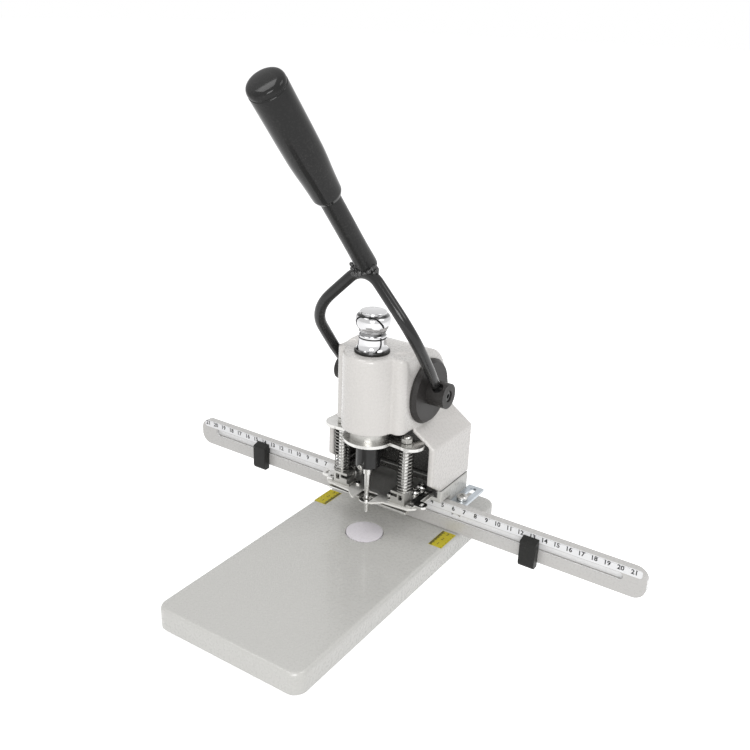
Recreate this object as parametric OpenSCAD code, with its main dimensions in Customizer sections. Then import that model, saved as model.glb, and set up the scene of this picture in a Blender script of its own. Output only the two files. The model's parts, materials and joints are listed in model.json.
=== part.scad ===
// Hand paper drill with a sliding fence, in millimetres.
// Origin on the table under the middle of the base plate, X to the right, Y to the back, Z up.

/* [View] */
// Sub-part to draw, or all

/* [Base] */
// Width of the base plate
base_w = 128; // [110:1:160]
// Length of the base plate in front of the drill axis
base_front = 171; // [140:1:200]
// Length of the base plate behind the drill axis
base_back = 110; // [90:1:130]
// Thickness of the base plate
base_t = 18; // [12:1:24]
// Corner radius of the base plate in plan
base_corner_r = 10; // [5:1:20]
// Bevel on the top edge of the base plate
base_bevel = 1.6; // [0.5:0.1:3]
// Height of the rubber feet
foot_h = 4; // [2:0.5:8]
// Radius of the rubber feet
foot_r = 9; // [6:0.5:12]
// Distance of the feet from the edges of the base plate
foot_inset = 14; // [12:1:25]
// Radius of the stub that holds a foot
foot_stub_r = 3; // [2:0.5:4]
// Length of the stub that holds a foot
foot_stub_h = 6; // [3:0.5:9]
// Radius of the cutting pad
pad_r = 15; // [10:0.5:20]
// Thickness of the cutting pad
pad_t = 6; // [3:0.5:9]
// Height of the cutting pad above the base plate
pad_proud = 0.3; // [0:0.1:1]
// Centre of the cutting pad behind the drill axis
pad_y = -1.5; // [-4:0.5:4]

/* [Pedestal] */
// Width of the pedestal and of the body above it
body_w = 100; // [86:1:120]
// Back face of the pedestal and of the body
body_back = 78; // [70:1:90]
// Front face of the pedestal, behind the fence
pedestal_front = 50; // [48:1:56]
// Height of the pedestal above the base plate
pedestal_h = 38; // [34:1:46]
// Front end of the shelf over the fence
shelf_front = 33; // [28:1:38]
// Height of the shelf's underside above the base plate
shelf_lift = 27.4; // [26:0.2:30]
// Front end of the shelf's tongue
tongue_front = 18.5; // [16:0.5:24]
// Width of the shelf's tongue
tongue_w = 72; // [60:1:80]

/* [Head] */
// Height of the head from its lower face to its flat top
head_h = 61.6; // [56:0.2:68]
// Height of the head's lower face above the base plate
head_low_h = 95; // [90:1:100]
// Width of the head
head_w = 62; // [56:1:70]
// Radius of the nose over the drill axis
nose_r = 22; // [20:0.5:26]
// Radius of the two front lobes
lobe_r = 6.5; // [4:0.5:9]
// Distance of the lobes from the middle
lobe_x = 24.5; // [20:0.5:28]
// Distance of the lobes behind the drill axis
lobe_y = 2.5; // [0:0.5:6]
// Bevel on the top edge of the head
head_bevel = 1.6; // [0.5:0.1:3]
// Radius of the rounded back of the head
back_r = 34.5; // [30:0.5:40]
// Centre of the rounded back behind the drill axis
back_y = 27; // [22:0.5:34]
// Foot of the head's back slope above the base plate
back_slope_low = 98; // [90:1:105]
// Radius of the seats in the head's top
seat_r = 8; // [5:0.5:10]
// Depth of the seats in the head's top
seat_t = 1.8; // [0.5:0.1:3]
// Distance of the seats behind the drill axis
seat_y = 7; // [3:0.5:14]
// Front end of the side walls
wall_front = 15.5; // [12:0.5:20]
// Thickness of the side walls and shoulders
wall_t = 5; // [4:0.5:8]
// Height of the shoulder's outer edge above the base plate
shoulder_h = 82; // [76:1:90]
// Lower front corner of the side walls above the base plate
wall_low_h = 50; // [44:1:56]
// Back wall of the throat
throat_back = 53; // [50:1:60]
// Height of the dark seam between head and pedestal
seam_h = 0.9; // [0.5:0.1:1.5]
// Width of the step inside the seam
seam_in = 1.6; // [1:0.1:3]
// Radius of the bolts that hold the head
head_bolt_r = 3; // [2:0.5:4]
// Distance of the head bolts from the middle
head_bolt_x = 34; // [28:1:38]
// Distance of the head bolts behind the drill axis
head_bolt_y = 66; // [60:1:70]
// Length of the head bolts
head_bolt_h = 82; // [70:1:95]
// Radius of a head bolt's head
bolt_head_r = 5; // [4:0.5:7]
// Height of a head bolt's head
bolt_head_h = 5; // [4:0.5:7]
// Radius of the key hole in a socket head
socket_r = 2; // [1.5:0.1:3]
// Depth of the key hole in a socket head
socket_h = 2; // [1:0.1:3]

/* [Drive] */
// Tooth size of rack and pinion
tooth_module = 1.5; // [1:0.25:2]
// Number of teeth on the pinion
tooth_count = 20; // [16:1:24]
// Pressure angle of the teeth
tooth_angle = 20; // [14.5:0.5:25]
// Play between the teeth
tooth_play = 0.25; // [0.1:0.05:0.4]
// Height of the cross shaft above the base plate
pivot_h = 122; // [115:1:130]
// Half width of the pinion and the rack
gear_half = 8; // [6:0.5:10]
// Radius of the cross shaft
shaft_r = 7; // [6:0.5:9]
// Half length of the cross shaft
shaft_half = 45.9; // [44:0.1:50]
// Inner end of the shaft bushes
bush_in = 9; // [8.5:0.5:14]
// Radius of the shaft bushes
bush_r = 17.5; // [17.2:0.1:20]
// Rack above the quill's upper end
rack_over = 0.2; // [0:0.1:0.4]
// Number of rack teeth below the mesh
rack_down = 2; // [2:1:4]
// Turn of the lever from rest to the end of its stroke
lever_turn = 70; // [60:1:75]

/* [Quill] */
// Radius of the quill
quill_r = 15; // [13:0.5:16]
// Radius of the hole in the quill
quill_bore_r = 9.5; // [9:0.5:11]
// Height of the quill's lower end above the base plate
quill_low_h = 86.5; // [82:0.5:88]
// Distance of the quill's upper end below the head's top
quill_under = 7.6; // [7:0.1:12]
// Flat on the back of the quill behind its axis
quill_flat = 13; // [11:0.5:14]
// Radius of the hole in the quill's upper lip
lip_r = 7; // [6:0.5:8]
// Height of the quill's upper lip
lip_h = 4; // [3:0.5:6]
// Radius of the plain spindle
spindle_r = 5; // [4:0.5:6]
// Radius of the spindle's collar between the bearings
collar_r = 6.5; // [6:0.5:8]
// Height of a spindle bearing
bearing_h = 7; // [5:0.5:9]
// Upper end of the spindle above the head's top
spindle_over = 23.4; // [20:0.1:25]
// Mean radius of the helical part of the spindle
helix_r = 4.3; // [3.5:0.1:4.6]
// Height of the helical lobes
helix_lobe = 0.55; // [0.3:0.05:0.7]
// Number of helical lobes
helix_lobes = 4; // [3:1:6]
// Advance of the helix in one turn
helix_lead = 40; // [30:1:60]
// Clearance of the helical lobes in their nut
helix_play = 0.3; // [0.2:0.05:0.5]
// Radius of the helical nut
nut_r = 11.5; // [9:0.5:13]

/* [Chuck and bit] */
// Radius of the drill chuck
chuck_r = 10; // [8:0.25:11]
// Lower end of the chuck above the base plate
chuck_low_h = 60.5; // [56:0.5:62]
// Height of the chuck
chuck_h = 21.4; // [18:0.2:22]
// Bevel at the lower end of the chuck
chuck_bevel = 1.25; // [0.5:0.25:2]
// Depth of the bit's shank in the chuck
shank_h = 9; // [6:0.5:12]
// Radius of the bit's shank
shank_r = 2.5; // [2:0.25:3.5]
// Radius of the bit's head
bit_head_r = 3.6; // [3:0.1:4.5]
// Height of the bit's head
bit_head_h = 7; // [4:0.5:8]
// Radius of the bit below its head
bit_body_r = 2.7; // [2.4:0.1:3]
// Height of the bit's tapered part
bit_body_h = 18.5; // [12:0.5:20]
// Radius of the bit's tube
bit_tube_r = 2; // [1.5:0.1:2.4]
// Radius of the hole through the bit
bit_hole_r = 1.4; // [0.8:0.1:1.7]
// Lower end of the bit above the base plate
bit_tip_h = 19; // [18.9:0.1:24]
// Radius of the chuck screw
chuck_screw_r = 1.9; // [1.5:0.1:2.5]
// Length of the chuck screw outside the chuck
chuck_screw_out = 3.4; // [1:0.2:5]
// Direction of the chuck screw seen from above
chuck_screw_turn = 275; // [180:5:290]
// Height of the chuck screw above the chuck's lower end
chuck_screw_up = 3.5; // [3:0.5:7]

/* [Lift plate and springs] */
// Thickness of the lift plate
lift_t = 2.5; // [2:0.5:4]
// Radius of the lift plate's middle
lift_mid_r = 20.5; // [18:0.5:24]
// Radius of the lift plate's ears
lift_ear_r = 10.5; // [8:0.5:12]
// Distance of the ears from the middle
lift_ear_x = 34; // [28:0.5:35]
// Distance of the ears behind the drill axis
lift_ear_y = 7.5; // [6:0.5:10]
// Distance of the guide rods from the middle
rod_x = 30; // [27:0.5:31]
// Distance of the guide rods behind the drill axis
rod_y = 7.5; // [6:0.5:10]
// Radius of the guide rods
rod_r = 3; // [2:0.25:4]
// Length of the guide rods above the lift plate
rod_over = 5.2; // [4.4:0.2:7]
// Height of the rod nuts
rod_nut_h = 3.6; // [3:0.2:4]
// Corner radius of the rod nuts
rod_nut_r = 4.8; // [4.4:0.2:6]
// Wire radius of the return springs
wire_r = 0.6; // [0.4:0.05:0.8]
// Mean radius of the return springs
coil_r = 5.9; // [5:0.1:7]
// Number of coils in a return spring
coil_count = 10; // [8:1:11]
// Sides of the spring wire
wire_sides = 6; // [6:1:8]
// Rings of the spring wire in one coil
coil_rings = 8; // [8:1:12]
// Height of the spring brackets above the stripper plate
bracket_h = 10.8; // [9:0.2:14]
// Width of the spring brackets
bracket_w = 13; // [12:0.5:14]
// Distance of the brackets' middle from the rods towards the drill
bracket_shift = 2.5; // [1:0.25:3]
// Depth of the spring brackets
bracket_d = 12; // [9:0.5:14]
// Sheet thickness of the spring brackets
bracket_t = 2.2; // [1.4:0.1:2.6]
// Reach of the brackets' feet towards the drill
bracket_foot = 2.2; // [1:0.2:2.4]
// Width of the slot in the bracket's front
bracket_slot_w = 6; // [4:0.5:7]
// Height of the slot in the bracket's front
bracket_slot_h = 2.6; // [2:0.1:4]
// Width of the hole beside the slot
bracket_hole_w = 3.4; // [2:0.2:4]
// Height of the hole beside the slot
bracket_hole_h = 4.6; // [3:0.2:5]
// Radius of the screws on the lift plate
lift_screw_r = 1.5; // [1:0.1:2]
// Distance of the lift plate's screws from the drill axis
lift_screw_ring = 12.5; // [12.4:0.1:13]
// Head radius of the lift plate's screws
lift_screw_head_r = 2.6; // [2:0.1:2.8]
// Head height of the lift plate's screws
lift_screw_head_h = 1.7; // [1:0.1:2]
// Length of the lift plate's screws in the quill
lift_screw_h = 9; // [6:0.5:12]

/* [Stripper] */
// Height of the stripper plate's underside above the base plate
stripper_lift = 32; // [31:0.5:34]
// Thickness of the stripper plate
stripper_t = 1.6; // [1:0.1:2.5]
// Width of the stripper plate
stripper_w = 86; // [80:1:88]
// Width of the stripper plate's front edge
stripper_front_w = 76; // [70:1:80]
// Front edge of the stripper plate before the drill axis
stripper_front = 2.5; // [1:0.5:6]
// Slant of the stripper plate's front edge from the middle to its ends
stripper_slant = 2; // [0:0.5:4]
// Reach of the two tips beside the notch before the drill axis
stripper_tip = 9; // [6:0.5:11]
// Width over the two tips
stripper_tip_w = 18.4; // [17:0.2:24]
// Width where the tips join the front edge
stripper_flare_w = 32; // [28:1:40]
// Width of the notch
notch_w = 14.8; // [12:0.2:16]
// End of the notch behind the drill axis
notch_end = 6.5; // [4:0.5:8]
// Corner radius at the end of the notch
notch_corner_r = 2; // [1:0.5:4]
// Back edge of the stripper plate
stripper_back = 49.5; // [46:0.5:50]
// Thickness of the guide plate
guide_t = 2; // [1.5:0.1:3]
// Gap between guide plate and stripper plate
guide_gap = 1.5; // [1:0.1:2.5]
// Radius of the guide plate's nose
guide_nose_r = 6.5; // [5:0.5:11]
// Width of the guide plate
guide_w = 74; // [66:1:76]
// Back edge of the guide plate
guide_back = 17.5; // [14:0.5:18]
// Radius of the guide plate's hole for the bit
guide_hole_r = 3.3; // [3:0.1:4]
// Distance of the guide plate's screws from the middle
guide_screw_x = 15.5; // [13:0.5:18]
// Distance of the guide plate's screws behind the drill axis
guide_screw_y = 10.5; // [8:0.5:13]
// Radius of the guide plate's screws
guide_screw_r = 1.5; // [1:0.1:2]
// Radius of the spacers on the guide plate
guide_pad_r = 3.5; // [3:0.25:4.5]
// Distance of the plate screws from the middle
plate_screw_x = 30; // [26:0.5:32]
// Distance of the front plate screws behind the drill axis
plate_screw_y = 25; // [23:0.5:28]
// Distance from the front to the back plate screws
plate_screw_step = 10.5; // [10:0.5:14]
// Radius of the plate screws
plate_screw_r = 2.5; // [2:0.25:3]
// Head radius of the plate screws
plate_head_r = 4.5; // [4:0.25:5]
// Head height of the plate screws
plate_head_h = 4.4; // [3:0.2:6]
// Width of the side arms
arm_w = 6; // [4:0.5:7]
// Thickness of the side arms
arm_t = 2.2; // [1.5:0.1:3]
// Distance of the side arms' outer edge from the middle
arm_x = 41.5; // [41:0.5:43]
// Front end of the side arms
arm_front = 2; // [2:0.5:6]
// Back end of the side arms
arm_back = 33; // [28:0.5:40]
// Radius of the holes in the side arms
arm_hole_r = 1.5; // [1:0.1:2]
// First hole in the side arms behind the drill axis
arm_hole_y = 6; // [5:0.5:9]
// Distance between the holes in the side arms
arm_hole_step = 21.5; // [18:0.5:24]
// Reach of the side arms' tab to the side
arm_tab_out = 8.5; // [6:0.5:10]
// Width of the side arms' tab
arm_tab_w = 9; // [8:0.5:10]
// Front edge of the side arms' tab behind the drill axis
arm_tab_y = 5; // [3:0.5:7]
// Width of the slot in the tab
arm_slot_w = 2.4; // [1.6:0.2:3]
// Length of the slot in the tab
arm_slot_h = 5; // [4:0.5:6]

/* [Knob] */
// Radius of the black ring under the collar
ring_r = 13.6; // [12:0.1:15]
// Height of the black ring
ring_h = 1.6; // [1:0.1:2]
// Radius of the flared collar at its foot
flare_r = 13; // [11:0.1:14]
// Height of the flared collar
flare_h = 10.2; // [8:0.1:12]
// Radius of the collar's upper end and of the knob's neck
neck_r = 10.6; // [9:0.1:11.4]
// Radius of the knob's wide part
knob_r = 13.6; // [11:0.1:15]
// Radius of the knob's top face
knob_top_r = 10.2; // [8:0.1:11]
// Height of the knob
knob_h = 20; // [17:0.1:22]
// Share of the knob's height where each ring of its shape lies
knob_shares = [0, 0.07, 0.1, 0.22, 0.25, 0.32, 0.42, 0.54, 0.66, 0.78, 0.88, 0.93, 1];
// Radius of the hole inside the knob
knob_hole_r = 6.2; // [5.5:0.1:7]
// Radius of the knob's stem
stem_r = 8; // [7.2:0.1:9]
// Length of the knob's stem
stem_h = 6; // [4:0.5:8]
// Thickness of the knob's top
knob_top_t = 3.4; // [2:0.2:5]

/* [Lever] */
// Distance of the lever's legs from the middle
leg_x = 43.6; // [42:0.2:45]
// Radius of the bent bar
bar_r = 4.4; // [4:0.1:5]
// Corner of the bent bar behind the drill axis
corner_y = -16.3; // [-20:0.1:-12]
// Corner of the bent bar above the base plate
corner_h = 184; // [178:0.5:188]
// Bend radius at the corners
corner_r = 37; // [24:1:40]
// Middle of the bent bar behind the drill axis
apex_y = -12.8; // [-16:0.1:-9]
// Middle of the bent bar above the base plate before it is rounded
apex_h = 227; // [222:0.2:234]
// Bend radius in the middle
apex_r = 17.4; // [12:0.2:20]
// Steps in each bend
bend_steps = 8; // [6:1:12]
// Sides of the bent bar
bar_sides = 20; // [16:1:28]
// Radius of the lever's rod
rod_bar_r = 7; // [6:0.25:7.5]
// Distance of the rod's axis behind the middle of the bent bar
rod_back = 5.2; // [3:0.2:7]
// Slope of the lever's rod above the horizontal
rod_slope = 49.4; // [44:0.1:56]
// Distance of the grip from the middle of the yoke
grip_start = 76; // [70:0.5:82]
// Length of the grip up to its dome
grip_h = 94; // [84:0.5:100]
// Radius of the grip at its foot
grip_foot_r = 7.9; // [7.8:0.1:9]
// Radius of the grip above its foot
grip_low_r = 10.4; // [9.5:0.1:11.5]
// Radius of the grip at its upper end
grip_top_r = 12.7; // [12:0.1:15]
// Share of the grip's length where each ring of its shape lies
grip_shares = [0, 0.02, 0.045, 0.13, 0.22, 0.3, 0.4, 0.6, 1];
// Height of the grip's dome
dome_h = 5.2; // [3:0.2:8]
// Radius of the side discs
disc_r = 26; // [22:0.5:27]
// Thickness of the side discs
disc_t = 4.6; // [3:0.2:6]
// Thickness of the side discs' rim
disc_rim_t = 1.8; // [1:0.1:3]
// Slope of the side discs outside the rim
disc_in = 2.2; // [1:0.1:4]
// Radius of the hubs
hub_r = 10; // [8:0.5:12]
// Outer end of the hubs from the middle
hub_out = 50.7; // [48:0.1:54]
// Depth of the socket in the hubs
hub_socket_h = 2.7; // [1.5:0.1:4]
// Radius of the socket in the hubs
hub_socket_r = 4.6; // [3:0.1:6]
// Radius of the hub screws
hub_screw_r = 2.5; // [2:0.1:3]
// Length of the hub screws
hub_screw_h = 14; // [8:0.5:18]

/* [Fence] */
// Length of the fence
fence_w = 436; // [400:1:460]
// Height of the fence
fence_h = 24.6; // [20:0.2:25]
// Thickness of the fence
fence_t = 5.5; // [4.5:0.1:7]
// Front face of the fence behind the drill axis
fence_y = 41; // [38:0.5:43]
// Corner radius of the fence's ends
fence_corner_r = 10; // [4:1:12]
// Gap under the fence
fence_lift = 0.5; // [0.3:0.1:1]
// Distance of the groove from the fence's ends
groove_in = 18; // [12:1:24]
// Height of the groove's middle above the base plate
groove_mid = 14.4; // [12:0.1:17]
// Height of the groove
groove_h = 6.2; // [4:0.2:8]
// Depth of the groove's mouth
groove_t = 1.6; // [1:0.1:2]
// Extra height of the groove behind its mouth
groove_under = 1.8; // [1:0.1:3]
// Depth of the groove behind its mouth
groove_back_t = 1.8; // [1:0.1:2.5]
// Thickness of the white strip
strip_t = 0.4; // [0.2:0.1:0.8]
// Height of the white strip
strip_h = 6.4; // [5:0.2:8]
// Height of the white strip's lower edge above the base plate
strip_low_h = 18.1; // [17:0.1:20]
// Length of the white strip
strip_w = 428; // [390:1:450]
// Width of a fence bracket
fence_bracket_w = 14; // [10:0.5:16]
// Distance of the fence brackets from the pedestal
fence_bracket_side = 1; // [0.5:0.5:4]
// Back end of the fence brackets
fence_bracket_back = 80; // [74:0.5:90]
// Thickness of the fence brackets
fence_bracket_t = 2.5; // [2:0.1:4]
// Top of the fence brackets above the base plate
fence_bracket_h = 25; // [22:0.5:27]
// Height of the bracket's flange on the fence
flange_h = 14; // [8:0.5:18]
// Travel of the fence
fence_travel = 20; // [10:1:22]
// Distance of the clamp screws behind the drill axis
clamp_y = 54; // [53:0.5:58]
// Radius of the clamp screws
clamp_r = 2; // [1.5:0.1:3]
// Radius of the clamp screws' heads
clamp_head_r = 4.6; // [3:0.1:6]
// Height of the clamp screws' heads
clamp_head_h = 3; // [2:0.1:6]
// Radius of the posts under the clamp screws
post_r = 3; // [2.75:0.25:3.5]
// Depth of the posts in the base plate
post_sink = 6; // [3:0.5:9]
// Radius of the screws that hold the brackets to the fence
gauge_screw_r = 1.25; // [1:0.05:2]
// Length of the screws that hold the brackets to the fence
gauge_screw_h = 4; // [3:0.25:5]
// Head radius of the screws that hold the brackets
gauge_head_r = 2.2; // [1.6:0.1:2.4]
// Head height of the screws that hold the brackets
gauge_head_h = 1.2; // [0.8:0.1:1.4]
// Distance of the yellow scales from the side edges of the base plate
scale_edge = 1; // [0.5:0.5:6]
// Width of the yellow scales
scale_w = 12; // [9:1:12]
// Front edge of the yellow scales behind the drill axis
scale_front = 14; // [10:1:20]
// Length of the yellow scales
scale_len = 24; // [20:1:26]
// Thickness of the yellow scales
scale_t = 0.2; // [0.1:0.1:0.3]

/* [Side stops] */
// Inner face of the right stop from the middle
stop_right = 120; // [80:0.5:190]
// Inner face of the left stop from the middle
stop_left = 134.5; // [80:0.5:190]
// Width of a side stop
stop_w = 13.5; // [10:0.5:18]
// Front face of the side stops behind the drill axis
stop_front = 33.4; // [30:0.2:36]
// Gap between the side stops and the fence
stop_gap = 0.3; // [0.3:0.05:0.5]
// Upper back edge of the side stops above the base plate
stop_top_h = 21.6; // [19:0.2:24]
// Upper front edge of the side stops above the base plate
stop_front_h = 19.4; // [17:0.2:22]
// Lower end of the side stops above the base plate
stop_low_h = -2.6; // [-4:0.2:1]
// Bevel at the lower end of the side stops
stop_bevel = 2.6; // [1:0.2:4]
// Length of the key in the groove
key_w = 9; // [6:0.5:12]
// Depth of the key's neck past the fence's face
key_neck = 2; // [1.8:0.1:2.4]
// Depth of the key behind its neck
key_t = 1; // [0.6:0.1:1.4]

/* [Fits] */
// Running clearance of shafts and slides
run_gap = 0.05; // [0.02:0.01:0.1]
// Clearance between pieces that do not touch
part_gap = 0.3; // [0.3:0.05:0.5]
// Clearance of screws in their holes
screw_gap = 0.05; // [0.02:0.01:0.1]

/* [Hidden] */
$fn = 48;
deck_z = foot_h + base_t;
base_half = base_w / 2;
axis_y = (base_front - base_back) / 2;
body_half = body_w / 2;
head_half = head_w / 2;
pedestal_z = deck_z + pedestal_h;
shelf_z = deck_z + shelf_lift;
stripper_z = deck_z + stripper_lift;
stripper_top_z = stripper_z + stripper_t;
guide_top_z = stripper_z - guide_gap;
guide_z = guide_top_z - guide_t;
head_low_z = deck_z + head_low_h;
head_top_z = head_low_z + head_h;
pivot_z = deck_z + pivot_h;
pitch_r = tooth_module * tooth_count / 2;
tip_r = pitch_r + tooth_module;
root_r = pitch_r - tooth_module * 1.25;
base_r = pitch_r * cos(tooth_angle);
tooth_pitch = PI * tooth_module;
quill_top_z = head_top_z - quill_under;
rack_line = 17.1;
pivot_y = rack_line + pitch_r;
rack_tip_y = rack_line + tooth_module;
rack_root_y = rack_line - tooth_module * 1.25;
rack_low_z = pivot_z - (rack_down + 0.75) * tooth_pitch;
rack_up = floor((quill_top_z + rack_over - pivot_z) / tooth_pitch - 0.75);
rack_top_z = pivot_z + (rack_up + 0.75) * tooth_pitch;
quill_z = deck_z + quill_low_h;
quill_room = quill_top_z + screw_gap * 10;
lift_z = quill_z - lift_t;
lift_back = wall_front - part_gap * 2;
stroke = pitch_r * lever_turn * PI / 180;
bearing_low_z = quill_z;
bearing_top_z = quill_top_z - lip_h;
spindle_top_z = head_top_z + spindle_over;
helix_low_z = quill_top_z - lip_h;
helix_turn = -360 / helix_lead;
chuck_z = deck_z + chuck_low_h;
chuck_top_z = chuck_z + chuck_h;
shank_top_z = chuck_z + shank_h;
bit_tip_z = deck_z + bit_tip_h;
bit_head_z = chuck_z - bit_head_h;
bit_body_z = bit_head_z - bit_body_h;
bracket_top_z = stripper_top_z + bracket_h;
bracket_slot_z = bracket_top_z - bracket_t - bracket_slot_h;
bracket_hole_z = bracket_top_z - bracket_t - bracket_hole_h;
coil_room = lift_z - bracket_top_z;
coil_pitch = (coil_room - wire_r * 4) / coil_count;
disc_in_x = head_half + part_gap + run_gap * 2;
disc_out_x = disc_in_x + disc_t;
hub_in_x = disc_out_x;
ring_top_z = head_top_z + ring_h;
collar_top_z = ring_top_z + flare_h;
knob_z = collar_top_z + part_gap;
knob_top_z = knob_z + knob_h;
knob_radii = [neck_r, neck_r, neck_r * 0.94, neck_r * 0.94, neck_r, neck_r * 1.06,
  knob_r * 0.92, knob_r * 0.985, knob_r, knob_r * 0.965, knob_r * 0.86, knob_top_r, knob_top_r * 0.95];
grip_swell = grip_top_r - grip_low_r;
grip_radii = [grip_foot_r, grip_low_r * 0.92, grip_low_r, grip_low_r + grip_swell * 0.17,
  grip_low_r + grip_swell * 0.4, grip_low_r + grip_swell * 0.66, grip_low_r + grip_swell * 0.86,
  grip_low_r + grip_swell * 0.95, grip_top_r];
leg_foot = [leg_x, pivot_y, pivot_z];
corner_at = [leg_x, corner_y, deck_z + corner_h];
apex_at = [0, apex_y, deck_z + apex_h];
leg_dir = unit(corner_at - leg_foot);
apex_drop = apex_r * (1 / cos(apex_tilt()) - 1);
apex_z = apex_at[2] - apex_drop;
apex_mid_y = apex_y - apex_drop * (apex_y - corner_y) / (apex_h - corner_h);
fence_z = deck_z + fence_lift;
fence_top_z = fence_z + fence_h;
fence_back_y = fence_y + fence_t;
groove_z = deck_z + groove_mid;
strip_front_y = fence_y - strip_t;
fence_bracket_x = body_half + fence_bracket_side;
bracket_mid_x = fence_bracket_x + fence_bracket_w / 2;
scale_in = base_half - scale_edge - scale_w;
fence_bracket_z = deck_z + fence_bracket_h;
stop_back_y = strip_front_y - stop_gap;

paint = [0.86, 0.84, 0.81];
steel = [0.72, 0.72, 0.7];
bright = [0.88, 0.88, 0.9];
black = [0.07, 0.07, 0.07];
coal = [0.2, 0.2, 0.2];
white = [0.96, 0.96, 0.95];
yellow = [0.93, 0.82, 0.1];

function unit(v) = v / norm(v);
function apex_tilt() = atan2(apex_h - corner_h, leg_x);

// Points on a bend of radius r at corner b between a and c.
function bend(a, b, c, r, n) =
  let (u = unit(a - b), v = unit(c - b), half = acos(u * v) / 2,
    mid = b + unit(u + v) * r / sin(half), run = r / tan(half),
    e0 = unit(b + u * run - mid), e1 = unit(b + v * run - mid), full = acos(e0 * e1))
  [for (i = [0 : n]) mid + r * (e0 * sin(full * (1 - i / n)) + e1 * sin(full * i / n)) / sin(full)];

// Rings of points around a path, all seen from the same side direction.
function ring_points(path, r, sides, side) =
  [for (i = [0 : len(path) - 1])
    let (t = unit(path[min(i + 1, len(path) - 1)] - path[max(i - 1, 0)]),
      p = unit(cross(t, side)), q = cross(t, p))
    for (k = [0 : sides - 1]) path[i] + r * (p * cos(360 * k / sides) + q * sin(360 * k / sides))];

function tube_faces(rings, sides) = concat(
  [for (i = [0 : rings - 2]) for (k = [0 : sides - 1])
    let (a = i * sides + k, b = i * sides + (k + 1) % sides) [a, b, b + sides]],
  [for (i = [0 : rings - 2]) for (k = [0 : sides - 1])
    let (a = i * sides + k, b = i * sides + (k + 1) % sides) [a, b + sides, a + sides]],
  [for (k = [1 : sides - 2]) [0, k + 1, k]],
  [for (k = [1 : sides - 2]) let (o = (rings - 1) * sides) [o, o + k, o + k + 1]]);

function roll(a) = tan(a) - a * PI / 180;
function half_tooth(r) =
  (PI / (2 * tooth_count) - tooth_play / (2 * pitch_r) + roll(tooth_angle)
    - roll(acos(min(1, base_r / r)))) * 180 / PI;
tooth_shares = [0, 0.28, 0.55, 0.8, 1];
function tooth_radius(s) = root_r + (tip_r - root_r) * s;
function pinion_points() =
  [for (i = [0 : tooth_count - 1]) let (mid = (i + 0.5) * 360 / tooth_count)
    for (k = [0 : len(tooth_shares) * 2 - 1])
      let (up = k < len(tooth_shares), j = up ? k : len(tooth_shares) * 2 - 1 - k,
        r = tooth_radius(tooth_shares[j]), h = half_tooth(max(r, base_r)), a = mid + (up ? -h : h))
      [r * cos(a), r * sin(a)]];
function rack_points() = let (quarter = tooth_pitch / 4 - tooth_play / 2,
    tip = quarter - tooth_module * tan(tooth_angle),
    root = quarter + (rack_line - rack_root_y) * tan(tooth_angle))
  concat([[quill_flat, rack_top_z], [quill_flat, rack_low_z], [rack_root_y, rack_low_z]],
    [for (i = [-rack_down : rack_up]) let (z = pivot_z + i * tooth_pitch)
      for (p = [[rack_root_y, z - root], [rack_tip_y, z - tip], [rack_tip_y, z + tip],
        [rack_root_y, z + root]]) p],
    [[rack_root_y, rack_top_z]]);

helix_points_count = 24;
function helix_points(extra) =
  [for (k = [0 : helix_points_count - 1]) let (a = 360 * k / helix_points_count,
    r = helix_r + extra + helix_lobe * cos(helix_lobes * a)) [r * cos(a), r * sin(a)]];

module box(x0, x1, y0, y1, z0, z1) {
  translate([x0, y0, z0]) cube([x1 - x0, y1 - y0, z1 - z0]);
}

module along_x(x0, x1) {
  translate([x0, 0, 0]) rotate([90, 0, 90]) linear_extrude(height = x1 - x0) children();
}

module along_y(y0, y1) {
  translate([0, y1, 0]) rotate([90, 0, 0]) linear_extrude(height = y1 - y0) children();
}

module along_z(z0, z1) {
  translate([0, 0, z0]) linear_extrude(height = z1 - z0) children();
}

module round_z(x, y, z0, z1, r) {
  translate([x, y, z0]) cylinder(h = z1 - z0, r = r);
}

module round_x(x0, x1, y, z, r) {
  translate([x0, y, z]) rotate([0, 90, 0]) cylinder(h = x1 - x0, r = r);
}

module placed() {
  translate([0, axis_y, 0]) children();
}

module both_sides() {
  children();
  mirror([1, 0, 0]) children();
}

// Plate with round corners and a bevel on its top edge.
module soft_plate(x0, x1, y0, y1, z0, z1, r, b) {
  along_x(x0 + r, x1 - r)
    polygon([[y0, z0], [y1, z0], [y1, z1 - b], [y1 - b, z1], [y0 + b, z1], [y0, z1 - b]]);
  along_y(y0 + r, y1 - r)
    polygon([[x0, z0], [x1, z0], [x1, z1 - b], [x1 - b, z1], [x0 + b, z1], [x0, z1 - b]]);
  for (x = [x0 + r, x1 - r]) for (y = [y0 + r, y1 - r]) soft_post(x, y, z0, z1, r, b);
}

module soft_post(x, y, z0, z1, r, b) {
  round_z(x, y, z0, z1 - b, r);
  translate([x, y, z1 - b]) cylinder(h = b, r1 = r, r2 = r - b);
}

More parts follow.
